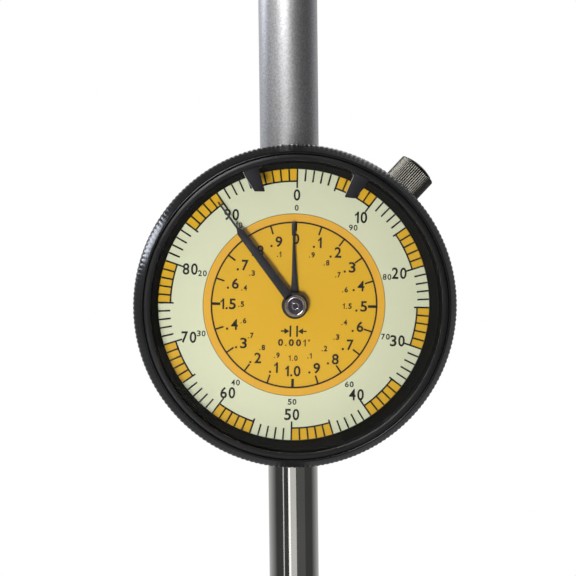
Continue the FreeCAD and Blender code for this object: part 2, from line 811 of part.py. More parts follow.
def pivot_bushes():
    """Plain bushes pressed into the plates, each with the hole that a pivot turns in."""
    places = [
        ("front_rack", plate_front, plate_back, arbor_x, arbor_z, s.arbor_radius),
        ("rear_rack", rear_front, rear_back, arbor_x, arbor_z, s.pivot_radius),
        ("front_takeup", plate_front, plate_back, takeup_x, takeup_z, s.pivot_radius),
        ("rear_takeup", rear_front, rear_back, takeup_x, takeup_z, s.pivot_radius),
        ("bridge_centre", bridge_front, bridge_back, NONE, NONE, s.pivot_radius),
    ]
    bushes = []
    for name, front, back, x, z, hole in places:
        blank = rod(name + "_bush", s.bush_radius, front, back, x, z)
        bore = through_hole(name + "_bore", hole + s.pivot_play, front, back, x, z)
        bushes.append(cut(name, blank, [bore]))
    node(group("bushes", bushes), "pivot_bushes")


def involute(angle):
    return math.tan(angle) - angle


def toothed(name, teeth, module, front, thick, x, z, bore, first_tooth):
    """A spur gear about Y with straight-sided facets on its involute flanks."""
    module_now = module.value
    count = int(teeth.value)
    pressure = math.radians(s.pressure_angle.value)
    pitch_radius = count * module_now / 2
    base_radius = pitch_radius * math.cos(pressure)
    radii = [pitch_radius - DEDENDUM * module_now, pitch_radius, pitch_radius + module_now]
    slack = s.backlash.value / 4 / pitch_radius
    half_angles = []
    for radius in radii:
        flank = math.acos(min(1.0, base_radius / max(radius, base_radius)))
        half_angles.append(math.pi / 2 / count - slack + involute(pressure) - involute(flank))
    corners = []
    for index in range(count):
        middle = math.radians(first_tooth) + 2 * math.pi * index / count
        rising = [(radius, middle - half) for radius, half in zip(radii, half_angles)]
        falling = [(radius, middle + half) for radius, half in zip(radii, half_angles)]
        corners += rising + falling[::-1]
    points = [Vector(radius * math.cos(angle), 0, radius * math.sin(angle)) for radius, angle in corners]
    points.append(points[0])
    outside = Part.Wire(Part.makePolygon(points))
    hole = Part.Wire(Part.makeCircle(bore.value, Vector(), Vector(0, 1, 0)))
    face = Part.makeFace([outside, hole], "Part::FaceMakerBullseye")
    gear = doc.addObject("Part::Feature", name)
    gear.Shape = face.extrude(Vector(0, thick.value, 0))
    return place(gear, (x, front, z))


def arbor(name, steps, x, z):
    """A turned shaft along Y. Steps are (radius, depth where it starts), then the last depth."""
    outline = [(NONE, steps[0][1])]
    for (radius, start), (_, end) in zip(steps[:-1], steps[1:]):
        outline += [(radius, start), (radius, end)]
    outline.append((NONE, steps[-1][1]))
    return facing(name, outline, (x, NONE, z))


def rack_train():
    """Rack arbor: the pinion on the rack, the drive gear and the pinion of the counter."""
    toward_centre = arbor_angle + 180
    node(arbor("rack_shaft", [
        (s.arbor_radius, counter_front), (s.pivot_radius, rear_front - s.layer_gap / 2),
        (s.pivot_radius, rear_back)], arbor_x, arbor_z), "rack_arbor")
    half = s.pinion_face / 2
    node(toothed("pinion_on_rack", s.pinion_teeth, s.rack_module, -half, s.pinion_face, arbor_x, arbor_z,
                 s.arbor_radius, 0), "rack_pinion")
    half_tooth = FULL_TURN / s.wheel_teeth.value / 2
    node(toothed("driving_gear", s.wheel_teeth, s.train_module, gear_front, s.gear_thick, arbor_x, arbor_z,
                 s.arbor_radius, toward_centre + half_tooth), "drive_gear")
    node(toothed("counting_pinion", s.pinion_teeth, s.counter_module, counter_front, s.counter_thick, arbor_x,
                 arbor_z, s.arbor_radius, toward_centre), "counter_pinion")


def centre_train():
    node(arbor("centre_shaft", [
        (s.arbor_radius, main_front), (s.pivot_radius, bridge_front - s.layer_gap / 2),
        (s.pivot_radius, bridge_back)], NONE, NONE), "centre_arbor")
    node(toothed("pinion_at_centre", s.pinion_teeth, s.train_module, gear_front, s.gear_thick, NONE, NONE,
                 s.arbor_radius, arbor_angle), "centre_pinion")
    post_front = counter_front - s.layer_gap
    node(facing("fixed_post", [
        (s.arbor_radius + s.pivot_play, post_front), (s.post_radius, post_front),
        (s.post_radius, plate_back), (s.arbor_radius + s.pivot_play, plate_back)]), "counter_post")


def counter_train():
    half_tooth = FULL_TURN / s.counter_teeth.value / 2
    node(toothed("counting_wheel", s.counter_teeth, s.counter_module, counter_front, s.counter_thick, NONE,
                 NONE, s.tube_radius, arbor_angle + half_tooth), "counter_wheel")
    inner = s.post_radius + s.pivot_play
    node(facing("counting_tube", [
        (inner, count_front), (s.tube_radius, count_front), (s.tube_radius, counter_back),
        (inner, counter_back)]), "counter_tube")


def takeup_train():
    """The wheel and hairspring that keep the train's backlash on one side."""
    node(arbor("takeup_shaft", [
        (s.pivot_radius, plate_front), (s.arbor_radius, plate_back + s.layer_gap / 2),
        (s.pivot_radius, rear_front - s.layer_gap / 2), (s.pivot_radius, rear_back)], takeup_x, takeup_z),
        "takeup_arbor")
    half_tooth = FULL_TURN / s.wheel_teeth.value / 2
    node(toothed("takeup_gear", s.wheel_teeth, s.train_module, gear_front, s.gear_thick, takeup_x, takeup_z,
                 s.arbor_radius, arbor_angle + half_tooth), "takeup_wheel")
    hair_front = gear_back + s.layer_gap
    hair_back = hair_front + s.hair_height
    node(facing("hair_collet", [
        (s.arbor_radius, hair_front), (s.collet_radius, hair_front), (s.collet_radius, hair_back),
        (s.arbor_radius, hair_back)], (takeup_x, NONE, takeup_z)), "hairspring_collet")
    outer = s.hair_start + s.hair_pitch * s.hair_turns
    node(rod("hair_stud", s.arbor_radius, hair_front, rear_front, takeup_x + outer + s.arbor_radius,
             takeup_z), "hairspring_stud")
    strip = doc.addObject("Part::Feature", "hair_strip")
    strip.Shape = spiral_strip()
    node(place(strip, (takeup_x, hair_front, takeup_z)), "hairspring")


def spiral_strip():
    """A flat spiral in the XZ plane that ends on +X, where the stud holds it."""
    steps = 24
    turns = int(s.hair_turns.value)
    half = s.hair_strip.value / 2
    inner = []
    outer = []
    for index in range(turns * steps + 1):
        angle = 2 * math.pi * index / steps
        radius = s.hair_start.value + s.hair_pitch.value * index / steps
        ray = Vector(math.cos(angle), 0, math.sin(angle))
        inner.append(ray * (radius - half))
        outer.append(ray * (radius + half))
    sides = [Part.BSplineCurve(), Part.BSplineCurve()]
    for side, points in zip(sides, (inner, outer)):
        side.interpolate(points)
    edges = [sides[0].toShape(), Part.makeLine(inner[-1], outer[-1]), sides[1].toShape(),
             Part.makeLine(outer[0], inner[0])]
    face = Part.Face(Part.Wire(Part.__sortEdges__(edges)))
    return face.extrude(Vector(0, s.hair_height.value, 0))


# --- hands ---------------------------------------------------------------------------------------------


def hand(name, outline, front, back, angle):
    """A flat hand drawn upwards, then turned clockwise by its angle."""
    blade = padded(name, outline, back, front)
    blade.Placement = Placement(blade.Placement.Base, Rotation(Vector(0, 1, 0), angle.value))
    bind(blade, "Placement.Rotation.Angle", angle)
    return blade


def hands():
    root = s.tube_radius + s.hand_root
    half = s.count_root / 2
    waist = s.count_waist / 2
    block = s.count_length - s.count_block
    tip = s.count_tip / 2
    blade = hand("counting_blade", [
        (-half, root), (-waist, block), (-tip, block), (-tip, s.count_length), (tip, s.count_length),
        (tip, block), (waist, block), (half, root)], count_front, count_back, s.count_angle)
    eye = rod("counting_eye", s.hub_radius, count_front, count_back, NONE, NONE)
    hole = through_hole("counting_eye_hole", s.tube_radius, count_front, count_back, NONE, NONE)
    node(cut("counting_hand", fused("counting_shape", [blade, eye]), [hole]), "counter_pointer")

    half = s.main_width / 2
    needle = s.main_needle / 2
    root = s.arbor_radius + s.hand_root
    length = window_radius - s.hand_margin
    blade_end = length - s.needle_length
    shoulder = blade_end + s.main_taper
    blade = hand("main_blade_shape", [
        (-half, root), (-half, blade_end), (-needle, shoulder), (-needle, length - needle), (NONE, length),
        (needle, length - needle), (needle, shoulder), (half, blade_end), (half, root)],
        main_front, main_back, s.main_angle)
    eye = rod("main_eye", s.hub_radius, main_front, main_back, NONE, NONE)
    hole = through_hole("main_eye_hole", s.arbor_radius, main_front, main_back, NONE, NONE)
    node(cut("main_hand", fused("main_shape", [blade, eye]), [hole]), "main_pointer")
    pin = s.arbor_radius
    face = hub_front + s.hub_step
    rim = s.hub_cap_radius
    node(facing("hub_cap", [
        (NONE, hub_front), (pin, hub_front), (pin + s.hub_step / 2, face), (rim - s.hub_step, face),
        (rim, face + s.hub_step), (rim, main_front), (NONE, main_front)]), "pointer_hub")


# --- bezel group ---------------------------------------------------------------------------------------


def bezel():
    body = facing("bezel_ring", [
        (lip_radius, bezel_front), (shoulder_radius, ring_rim), (s.bezel_radius, knurl_front),
        (s.bezel_radius, knurl_rear), (skirt_radius, knurl_rear), (skirt_radius, skirt_rear),
        (bezel_bore, skirt_rear), (bezel_bore, dial_face), (window_radius, dial_face),
        (ledge_radius, crystal_back), (crystal_radius, crystal_back), (crystal_radius, crystal_front),
        (slot_radius, crystal_front), (slot_radius, slot_front), (lip_radius, slot_front)])
    groove = wire_groove("bezel_groove", case_radius, case_radius + s.wire_ring + s.bezel_play)
    node(cut("bezel_grooved", body, [groove]), "bezel")
    node(facing("glass_disc", [
        (NONE, crystal_front), (crystal_radius, crystal_front), (crystal_radius, crystal_back),
        (NONE, crystal_back)]), "crystal")
    dial_rim = bezel_bore - s.dial_play
    node(facing("dial_disc", [
        (s.dial_hole, dial_face), (dial_rim, dial_face), (dial_rim, dial_back), (s.dial_hole, dial_back)]),
        "dial_plate")
    node(facing("dial_ring", [
        (bezel_bore - s.dial_ring_width, dial_back), (bezel_bore, dial_back), (bezel_bore, dial_ring_back),
        (bezel_bore - s.dial_ring_width, dial_ring_back)]), "dial_retaining_ring")
    wire = ring("retaining_wire", case_radius, s.wire_ring, wire_depth)
    bind(wire, "Angle3", s.wire_span)
    node(wire, "bezel_retaining_wire")


def limit_marker(name, angle, inward):
    """A tab over the crystal on a foot in the bezel's slot; inward is the side that faces zero."""
    reach = slot_radius - s.marker_gap
    back = crystal_front - s.marker_gap
    front = back - s.marker_thick
    outer = rod(name + "_rim", reach, front, back, NONE, NONE)
    inner = through_hole(name + "_well", ledge_radius, front, back, NONE, NONE)
    band = cut(name + "_band", outer, [inner])
    far = -inward * s.marker_width
    spread = math.tan(math.radians(s.marker_foot.value)) * reach
    wedge = hand(name + "_wedge", [
        (far / 2, NONE), (far / 2 + spread, reach + OVERRUN), (far / 2 - spread, reach + OVERRUN)],
        front, back, angle)
    foot = doc.addObject("Part::MultiCommon", name + "_foot")
    foot.Shapes = [band, wedge]
    slope = s.marker_width * math.tan(math.radians(s.marker_slant.value))
    root = ledge_radius + s.marker_root
    tip = ledge_radius - s.marker_reach
    tab = hand(name + "_tab", [
        (NONE, tip), (NONE, root), (far, root), (far, tip + slope)], front, back, angle)
    return fused(name + "_shape", [foot, tab])


def limit_markers():
    node(limit_marker("low", s.low_limit_angle, 1), "limit_marker_left")
    node(limit_marker("high", s.high_limit_angle, -1), "limit_marker_right")


# --- build, check and write ----------------------------------------------------------------------------


def check():
    for thing in doc.Objects:
        if "Invalid" in thing.State or "Error" in thing.State:
            raise RuntimeError(f"{thing.Name} failed: {thing.State}")
    for thing in nodes:
        if thing.Shape.isNull() or not thing.Shape.isValid():
            raise RuntimeError(f"{thing.Label} has no valid shape")


def write():
    os.makedirs("parts", exist_ok=True)
    for thing in nodes:
        thing.Shape.exportStep(f"parts/{thing.Label}.step")


case_body()
back_cover()
clamp_screw()
stem()
sleeve()
spindle()
spindle_fittings()
return_spring()
plates()
centre_bridge()
pivot_bushes()
rack_train()
centre_train()
counter_train()
takeup_train()
hands()
bezel()
limit_markers()
doc.recompute()
check()
write()
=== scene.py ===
# Long-travel dial indicator: its visible pieces and their finishes, around the fixed frame.
#
# The frame is in metres. Pieces are drawn in millimetres about the dial centre and are scaled as
# they are placed. +Z is up the spindle and the dial faces -Y. A corner is (radius, along, fillet).
import json
import math

import bmesh
import bpy
from mathutils import Matrix, Vector


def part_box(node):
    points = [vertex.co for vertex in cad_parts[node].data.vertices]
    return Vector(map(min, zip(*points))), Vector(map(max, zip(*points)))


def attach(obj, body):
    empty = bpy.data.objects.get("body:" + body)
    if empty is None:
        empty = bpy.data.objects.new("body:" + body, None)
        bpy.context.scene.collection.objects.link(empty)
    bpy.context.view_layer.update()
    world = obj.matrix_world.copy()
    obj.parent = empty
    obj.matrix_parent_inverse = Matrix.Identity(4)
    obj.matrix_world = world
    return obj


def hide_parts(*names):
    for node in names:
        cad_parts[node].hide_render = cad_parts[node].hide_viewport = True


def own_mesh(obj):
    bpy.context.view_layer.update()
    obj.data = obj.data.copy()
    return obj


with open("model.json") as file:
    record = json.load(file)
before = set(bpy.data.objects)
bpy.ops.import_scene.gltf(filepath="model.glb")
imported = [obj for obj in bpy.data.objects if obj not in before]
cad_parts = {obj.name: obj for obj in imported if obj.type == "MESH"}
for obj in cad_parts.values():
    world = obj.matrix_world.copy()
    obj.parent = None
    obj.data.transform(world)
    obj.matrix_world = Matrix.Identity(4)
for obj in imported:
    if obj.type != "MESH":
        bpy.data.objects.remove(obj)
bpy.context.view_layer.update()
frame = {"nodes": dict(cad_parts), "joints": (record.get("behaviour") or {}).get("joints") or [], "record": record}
record = frame["record"]

MM = 0.001
TURN = 2 * math.pi
FACING = Vector((0, 1, 0))
UP = Vector((0, 0, 1))


# --- places taken from the frame -----------------------------------------------------------------


class Span:
    """A CAD node's box in millimetres, about the dial centre."""

    def __init__(self, node):
        low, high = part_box(node)
        low = low / MM - dial_centre
        high = high / MM - dial_centre
        self.front = low.y
        self.back = high.y
        self.foot = low.z
        self.top = high.z
        self.radius = (high.x - low.x) / 2


def places(node):
    """A CAD node's vertices in millimetres about the dial centre."""
    return [vertex.co / MM - dial_centre for vertex in frame["nodes"][node].data.vertices]


def dial_reach(place):
    """How far a place is from the dial's axis."""
    return place.xz.length


bezel_low, bezel_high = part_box("bezel")
dial_centre = Vector((0, 0, (bezel_low.z + bezel_high.z) / 2 / MM))


# --- geometry ------------------------------------------------------------------------------------

FILLET_STEPS = 4
FILLET_SHARE = 0.49
CREASE = 35
CAD_CREASE = 30
TOOTH_FLAT = 0.35


def rounded(corners):
    """Outline points from corners: each fillet becomes a short arc."""
    points = []
    for index, (across, along, fillet) in enumerate(corners):
        here = Vector((across, along))
        if not fillet:
            points.append(here)
            continue
        before = Vector(corners[index - 1][:2]) - here
        after = Vector(corners[(index + 1) % len(corners)][:2]) - here
        half = before.angle(after) / 2
        longest = min(before.length, after.length) * FILLET_SHARE
        reach = min(fillet / math.tan(half), longest)
        radius = reach * math.tan(half)
        inward = (before.normalized() + after.normalized()).normalized()
        middle = here + inward * (radius / math.sin(half))
        start = here + before.normalized() * reach - middle
        end = here + after.normalized() * reach - middle
        sweep = start.angle_signed(end)
        points += [middle + Matrix.Rotation(-sweep * step / FILLET_STEPS, 2) @ start
                   for step in range(FILLET_STEPS + 1)]
    return points


def turned_piece(name, corners, axis, steps):
    """A lathe-turned piece; a solid one starts and ends on the axis."""
    sketch = bmesh.new()
    points = rounded(corners)
    across = Vector((1, 0, 0))
    verts = [sketch.verts.new(across * point.x + axis * point.y) for point in points]
    pairs = list(zip(verts, verts[1:]))
    if points[0].x > 0 or points[-1].x > 0:
        pairs.append((verts[-1], verts[0]))
    edges = [sketch.edges.new(pair) for pair in pairs]
    bmesh.ops.spin(sketch, geom=verts + edges, cent=(0, 0, 0), axis=axis, dvec=(0, 0, 0),
                   angle=TURN, steps=steps, use_merge=True, use_duplicate=False)
    bmesh.ops.remove_doubles(sketch, verts=sketch.verts, dist=1e-4)
    bmesh.ops.recalc_face_normals(sketch, faces=sketch.faces)
    return finished(name, sketch)


def finished(name, shape, placing=Matrix()):
    """Puts a bmesh drawn about the dial centre where it belongs, as an object at the origin."""
    shape.transform(Matrix.Scale(MM, 4) @ Matrix.Translation(dial_centre) @ placing)
    mesh = bpy.data.meshes.new(name)
    shape.to_mesh(mesh)
    shape.free()
    return shown(name, mesh, CREASE)


def shown(name, mesh, crease):
    for face in mesh.polygons:
        face.use_smooth = True
    mesh.set_sharp_from_angle(angle=math.radians(crease))
    piece = bpy.data.objects.new(name, mesh)
    bpy.context.scene.collection.objects.link(piece)
    return piece


def knurl(piece, teeth, depth, axis, weight):
    """Cuts straight V grooves into a turned piece and leaves a share of each tooth flat.

    weight(radius, along) is the share of the depth cut at a place. The height on a tooth is kept as
    "crest"."""
    mesh = piece.data
    mark = mesh.attributes.new("crest", "FLOAT", "POINT")
    side = axis.orthogonal().normalized()
    other = axis.cross(side)
    origin = dial_centre * MM
    for vertex in mesh.vertices:
        offset = vertex.co - origin
        along = offset.dot(axis)
        radial = offset - axis * along
        radius = radial.length / MM
        if radius < 1e-6:
            continue
        share = weight(radius, along / MM)
        phase = math.atan2(radial.dot(other), radial.dot(side)) / TURN * teeth % 1
        rise = min(1, (1 - abs(2 * phase - 1)) / (1 - TOOTH_FLAT))
        vertex.co -= radial.normalized() * depth * (1 - rise) * share * MM
        mark.data[vertex.index].value = rise * share
    mesh.update()


def plate(name, outline, front, back, bevel, placing):
    """A flat plate in the XZ plane from an outline of (x, z) points, with bevelled edges."""
    shape = bmesh.new()
    verts = [shape.verts.new((x, back, z)) for x, z in outline]
    face = shape.faces.new(verts)
    grown = bmesh.ops.extrude_face_region(shape, geom=[face])
    moved = [item for item in grown["geom"] if isinstance(item, bmesh.types.BMVert)]
    bmesh.ops.translate(shape, verts=moved, vec=(0, front - back, 0))
    bmesh.ops.recalc_face_normals(shape, faces=shape.faces)
    rims = [edge for edge in shape.edges if edge.calc_face_angle(0) > math.radians(30)]
    bmesh.ops.bevel(shape, geom=rims, offset=bevel, segments=2, profile=0.5, affect="EDGES",
                    material=-1, clamp_overlap=True)
    return finished(name, shape, placing)


def cad_copy(name, node):
    """A merged, smooth-shaded copy of a CAD node that stands for it."""
    source = frame["nodes"][node]
    shape = bmesh.new()
    shape.from_mesh(source.data)
    bmesh.ops.remove_doubles(shape, verts=shape.verts, dist=1e-7)
    mesh = bpy.data.meshes.new(name)
    shape.to_mesh(mesh)
    shape.free()
    mesh.materials.clear()
    piece = shown(name, mesh, CAD_CREASE)
    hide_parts(node)
    return piece


def body_of_node(node):
    return next(body for body, nodes in record["behaviour"]["bodies"].items() if node in nodes)


def dress(piece, finish, node, replaces=False):
    """Gives a piece its material and the body of the node it belongs to; the node's slot in the record is looked
    up but not given to the piece.
    """
    piece.data.materials.clear()
    piece.data.materials.append(finish)
    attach(piece, body_of_node(node))
    next(part["material_slot"] for part in record["subparts"]
                        if part["node"] == node)
    if replaces:
        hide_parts(node)


# --- shader expressions --------------------------------------------------------------------------


class Value:
    """A socket of a material's tree; multiplying it adds a Math node."""

    def __init__(self, finish, socket):
        self.finish = finish
        self.socket = socket

    def __mul__(self, other):
        return self.finish.add("ShaderNodeMath", {"operation": "MULTIPLY"}, {0: self, 1: other})

    __rmul__ = __mul__


class Finish:
    """A procedural material, built up node by node."""

    def __init__(self, name):
        self.material = bpy.data.materials.new(name)
        self.material.use_nodes = True
        self.tree = self.material.node_tree
        self.tree.nodes.clear()
        self.place = self.add("ShaderNodeTexCoord", {}, {}, "Object")

    def add(self, kind, settings, sockets, output=0):
        node = self.tree.nodes.new(kind)
        for setting, value in settings.items():
            setattr(node, setting, value)
        for name, value in sockets.items():
            if isinstance(value, Value):
                self.tree.links.new(value.socket, node.inputs[name])
            else:
                node.inputs[name].default_value = value
        return Value(self, node.outputs[output])

    def noise(self, size, detail, stretch=(1, 1, 1)):
        """Noise whose grains are about size millimetres across, drawn out by stretch."""
        scale = tuple(1 / (size * MM * factor) for factor in stretch)
        grain = self.add("ShaderNodeMapping", {}, {"Vector": self.place, "Scale": scale})
        return self.add("ShaderNodeTexNoise", {}, {
            "Vector": grain, "Scale": 1.0, "Detail": detail, "Roughness": 0.5})

    def levels(self, value, low, high, out_low=0.0, out_high=1.0):
        """Remaps a value from low..high to out_low..out_high, held at the ends."""
        return self.add("ShaderNodeMapRange", {"clamp": True}, {
            "Value": value, "From Min": low, "From Max": high,
            "To Min": out_low, "To Max": out_high})

    def mix(self, share, first, second):
        return self.add("ShaderNodeMix", {"data_type": "RGBA"}, {0: share, 6: first, 7: second}, 2)

    def attribute(self, name):
        return self.add("ShaderNodeAttribute", {"attribute_name": name}, {}, "Fac")

    def bump(self, height, strength, distance):
        return self.add("ShaderNodeBump", {}, {
            "Height": height, "Strength": strength, "Distance": distance * MM}, "Normal")

    def principled(self, **sockets):
        named = {name.replace("_", " "): value for name, value in sockets.items()}
        shader = self.add("ShaderNodeBsdfPrincipled", {}, named, "BSDF")
        return self.output(shader)

    def output(self, shader):
        node = self.tree.nodes.new("ShaderNodeOutputMaterial")
        self.tree.links.new(shader.socket, node.inputs["Surface"])
        return self.material


def colour(red, green, blue):
    return (red, green, blue, 1.0)


# --- finishes ------------------------------------------------------------------------------------


def black_enamel(name="black enamel", rough=0.30, worn=0.0):
    """Semi-gloss black of the bezel; worn says how much the crests of its knurl are rubbed."""
    finish = Finish(name)
    cloud = finish.noise(9.0, 3)
    grain = finish.noise(0.35, 2)
    black = finish.mix(cloud, colour(0.006, 0.006, 0.0065), colour(0.012, 0.012, 0.013))
    if worn:
        patches = finish.levels(cloud, 0.3, 0.7, 0.5, 1.0)
        rubbed = finish.levels(finish.attribute("crest") * patches, 0.6, 1.0)
        black = finish.mix(rubbed * worn, black, colour(0.11, 0.11, 0.12))
    return finish.principled(
        Base_Color=black,
        Roughness=finish.levels(cloud, 0.3, 0.7, rough * 0.85, rough * 1.2),
        Normal=finish.bump(grain, 0.12, 0.02))


def matt_black():
    """Dull black inside the bezel, round the dial."""
    finish = Finish("matt black")
    grain = finish.noise(0.3, 2)
    return finish.principled(
        Base_Color=finish.mix(grain, colour(0.013, 0.013, 0.013), colour(0.019, 0.019, 0.018)),
        Roughness=finish.levels(grain, 0.3, 0.7, 0.85, 0.95),
        Normal=finish.bump(grain, 0.03, 0.02),
        Specular_IOR_Level=0.0)


def satin_black():
    """Fine-grained satin black of the case and back."""
    finish = Finish("satin black paint")
    cloud = finish.noise(14.0, 3)
    grain = finish.noise(0.25, 2)
    return finish.principled(
        Base_Color=finish.mix(cloud, colour(0.010, 0.010, 0.011), colour(0.02, 0.02, 0.021)),
        Roughness=finish.levels(cloud, 0.3, 0.7, 0.42, 0.55),
        Normal=finish.bump(grain, 0.35, 0.03))


def satin_chrome():
    """Fine-grained matt plating of the spindle sleeve."""
    finish = Finish("satin chrome")
    grain = finish.noise(0.34, 3)
    cloud = finish.noise(6.0, 3, (1, 1, 4))
    fleck = finish.levels(grain, 0.35, 0.65)
    return finish.principled(
        Base_Color=finish.mix(fleck, colour(0.60, 0.60, 0.61), colour(0.83, 0.83, 0.84)),
        Metallic=1.0,
        Roughness=finish.levels(cloud, 0.3, 0.7, 0.40, 0.46),
        Normal=finish.bump(grain, 0.35, 0.03))


def polished_chrome():
    """Bright ground and polished steel with faint turning marks and smears."""
    finish = Finish("polished chrome")
    ground = finish.noise(0.5, 2, (8, 8, 0.25))
    smear = finish.noise(7.0, 3)
    return finish.principled(
        Base_Color=finish.mix(smear, colour(0.60, 0.59, 0.555), colour(0.70, 0.69, 0.65)),
        Metallic=1.0,
        Roughness=finish.levels(smear, 0.35, 0.7, 0.05, 0.11),
        Normal=finish.bump(ground, 0.02, 0.01))


def nickel():
    """Warm nickel on the crests of the knob's knurl, with painted shade: near-black in the roots of the teeth, and
    the same near-black off the knurl.
    """
    finish = Finish("knurled nickel")
    smear = finish.noise(2.0, 3)
    crest = finish.attribute("crest")
    plated = finish.mix(smear, colour(0.12, 0.116, 0.10), colour(0.22, 0.21, 0.185))
    # painted shade: where the crest share is low, in the roots of the teeth and off the knurl, the colour is
    # near-black
    return finish.principled(
        Base_Color=finish.mix(finish.levels(crest, 0.25, 0.9), colour(0.012, 0.011, 0.010), plated),
        Metallic=1.0,
        Roughness=finish.levels(smear, 0.3, 0.7, 0.26, 0.38))


def steel(name="turned steel", tint=(0.45, 0.45, 0.45), rough=0.3, metal=1.0):
    """Turned steel of the screws, springs and hub."""
    finish = Finish(name)
    smear = finish.noise(2.5, 3)
    grain = finish.noise(0.2, 2)
    darker = tuple(level * 0.8 for level in tint)
    return finish.principled(
        Base_Color=finish.mix(smear, colour(*darker), colour(*tint)),
        Metallic=metal,
        Roughness=finish.levels(smear, 0.3, 0.7, rough * 0.8, rough * 1.2),
        Normal=finish.bump(grain, 0.12, 0.01))


def brass(name="lacquered brass", tint=(0.74, 0.53, 0.23), rough=0.28):
    """Plate and wheel brass with a straight drawn grain."""
    finish = Finish(name)
    drawn = finish.noise(0.3, 2, (1, 1, 14))
    smear = finish.noise(4.0, 3)
    darker = tuple(level * 0.82 for level in tint)
    return finish.principled(
        Base_Color=finish.mix(smear, colour(*darker), colour(*tint)),
        Metallic=1.0,
        Roughness=finish.levels(drawn, 0.3, 0.7, rough * 0.8, rough * 1.25),
        Normal=finish.bump(drawn, 0.15, 0.01))


def fibre():
    """Pressed fibre of the stop buffer."""
    finish = Finish("pressed fibre")
    fleck = finish.noise(0.4, 4)
    return finish.principled(
        Base_Color=finish.mix(fleck, colour(0.10, 0.03, 0.015), colour(0.22, 0.08, 0.04)),
        Roughness=0.8,
        Normal=finish.bump(fleck, 0.5, 0.03))


def paint(name, light, dark, rough=0.5):
    """Matt dial paint with very slight unevenness."""
    finish = Finish(name)
    cloud = finish.noise(11.0, 3)
    grain = finish.noise(0.15, 2)
    return finish.principled(
        Base_Color=finish.mix(cloud, colour(*dark), colour(*light)),
        Roughness=finish.levels(cloud, 0.3, 0.7, rough * 0.9, rough * 1.1),
        Normal=finish.bump(grain, 0.05, 0.01))


def hand_black(name="blackened hand", light=0.043, gloss=0.40):
    """Blackened steel of the hands and the limit markers."""
    finish = Finish(name)
    smear = finish.noise(2.0, 3)
    dark = light * 0.55
    shade = colour(dark, dark * 0.95, dark * 1.2)
    worn = colour(light, light * 0.96, light * 1.16)
    return finish.principled(
        Base_Color=finish.mix(smear, shade, worn),
        Metallic=0.3,
        Roughness=finish.levels(smear, 0.3, 0.7, gloss * 0.85, gloss * 1.15))


def cut_edge():
    """Bare bright steel where a stamped tab was sheared, given only to the sides that face the key light: partly
    real bare metal, partly painted highlight.
    """
    finish = Finish("sheared edge and painted highlight")
    drag = finish.noise(0.12, 2, (1, 4, 1))
    return finish.principled(
        Base_Color=finish.mix(drag, colour(0.62, 0.62, 0.65), colour(0.88, 0.88, 0.90)),
        Metallic=0.2,
        Roughness=finish.levels(drag, 0.3, 0.7, 0.35, 0.5))


CRYSTAL_GLOSS = 0.4


def crystal_glass():
    """Clear flat crystal: clear through, with a faint gloss."""
    finish = Finish("clear crystal")
    smear = finish.noise(12.0, 2)
    gloss = finish.add("ShaderNodeBsdfGlossy", {}, {
        "Color": colour(1, 1, 1), "Roughness": finish.levels(smear, 0.3, 0.7, 0.01, 0.03)})
    clear = finish.add("ShaderNodeBsdfTransparent", {}, {"Color": colour(0.985, 0.99, 0.985)})
    fresnel = finish.add("ShaderNodeFresnel", {}, {"IOR": 1.35})
    return finish.output(finish.add("ShaderNodeMixShader", {}, {
        0: fresnel * CRYSTAL_GLOSS, 1: clear, 2: gloss}))


enamel = black_enamel()
knurl_black = black_enamel("knurled black", 0.22, 0.4)
well_black = matt_black()
case_paint = satin_black()
sleeve_plating = satin_chrome()
bright_steel = polished_chrome()
knob_nickel = nickel()
screw_steel = steel()
spring_steel = steel("spring steel", (0.34, 0.34, 0.36), 0.22)
blued_steel = steel("blued steel", (0.05, 0.09, 0.26), 0.22)
hub_steel = steel("grey hub steel", (0.14, 0.12, 0.145), 0.22, 0.7)
hub_rim_steel = steel("hub rim steel", (0.60, 0.57, 0.64), 0.16, 0.85)
plate_brass = brass()
bush_bronze = brass("bush bronze", (0.50, 0.30, 0.15), 0.34)
washer_fibre = fibre()
cream = paint("cream dial", (0.72, 0.74, 0.53), (0.70, 0.72, 0.51))
yellow = paint("yellow print", (0.745, 0.425, 0.022), (0.72, 0.41, 0.019))
orange = paint("orange print", (0.80, 0.42, 0.040), (0.78, 0.41, 0.036))
ink = paint("black ink", (0.012, 0.011, 0.011), (0.007, 0.007, 0.007), 0.6)
edge_ink = paint("thin ink", (0.20, 0.15, 0.06), (0.16, 0.12, 0.05), 0.6)
hand_finish = hand_black()
marker_black = hand_black("blackened marker", 0.022, 0.5)
marker_bare_edge_and_highlight = cut_edge()
crystal = crystal_glass()


# --- dial ----------------------------------------------------------------------------------------

DIAL_SET = 2.0
PRINT_STEP = 0.012
ARC_STEP = 1.5
UNITS = 100
UNIT_ANGLE = 3.6
TENTH_ANGLE = 18

# radii of the scales and widths of their lines
EDGE = 25.9
OUTER_UNIT = 23.2
OUTER_FIVE = 22.55
OUTER_TEN = 21.9
BLOCK = 23.3
YELLOW = 17.03
YELLOW_HOLE = 2.2
CIRCLE = 15.5
INNER_MARK = CIRCLE - 1.65
LINE = 0.31
BOLD_LINE = 0.5
THIN_LINE = 0.11

# the rows of figures: height and radius
TENS = (2.15, 20.6)
TENS_BACK = (1.10, 18.2)
TENTHS = (2.0, 12.4)
TENTHS_BACK = (1.05, 9.95)

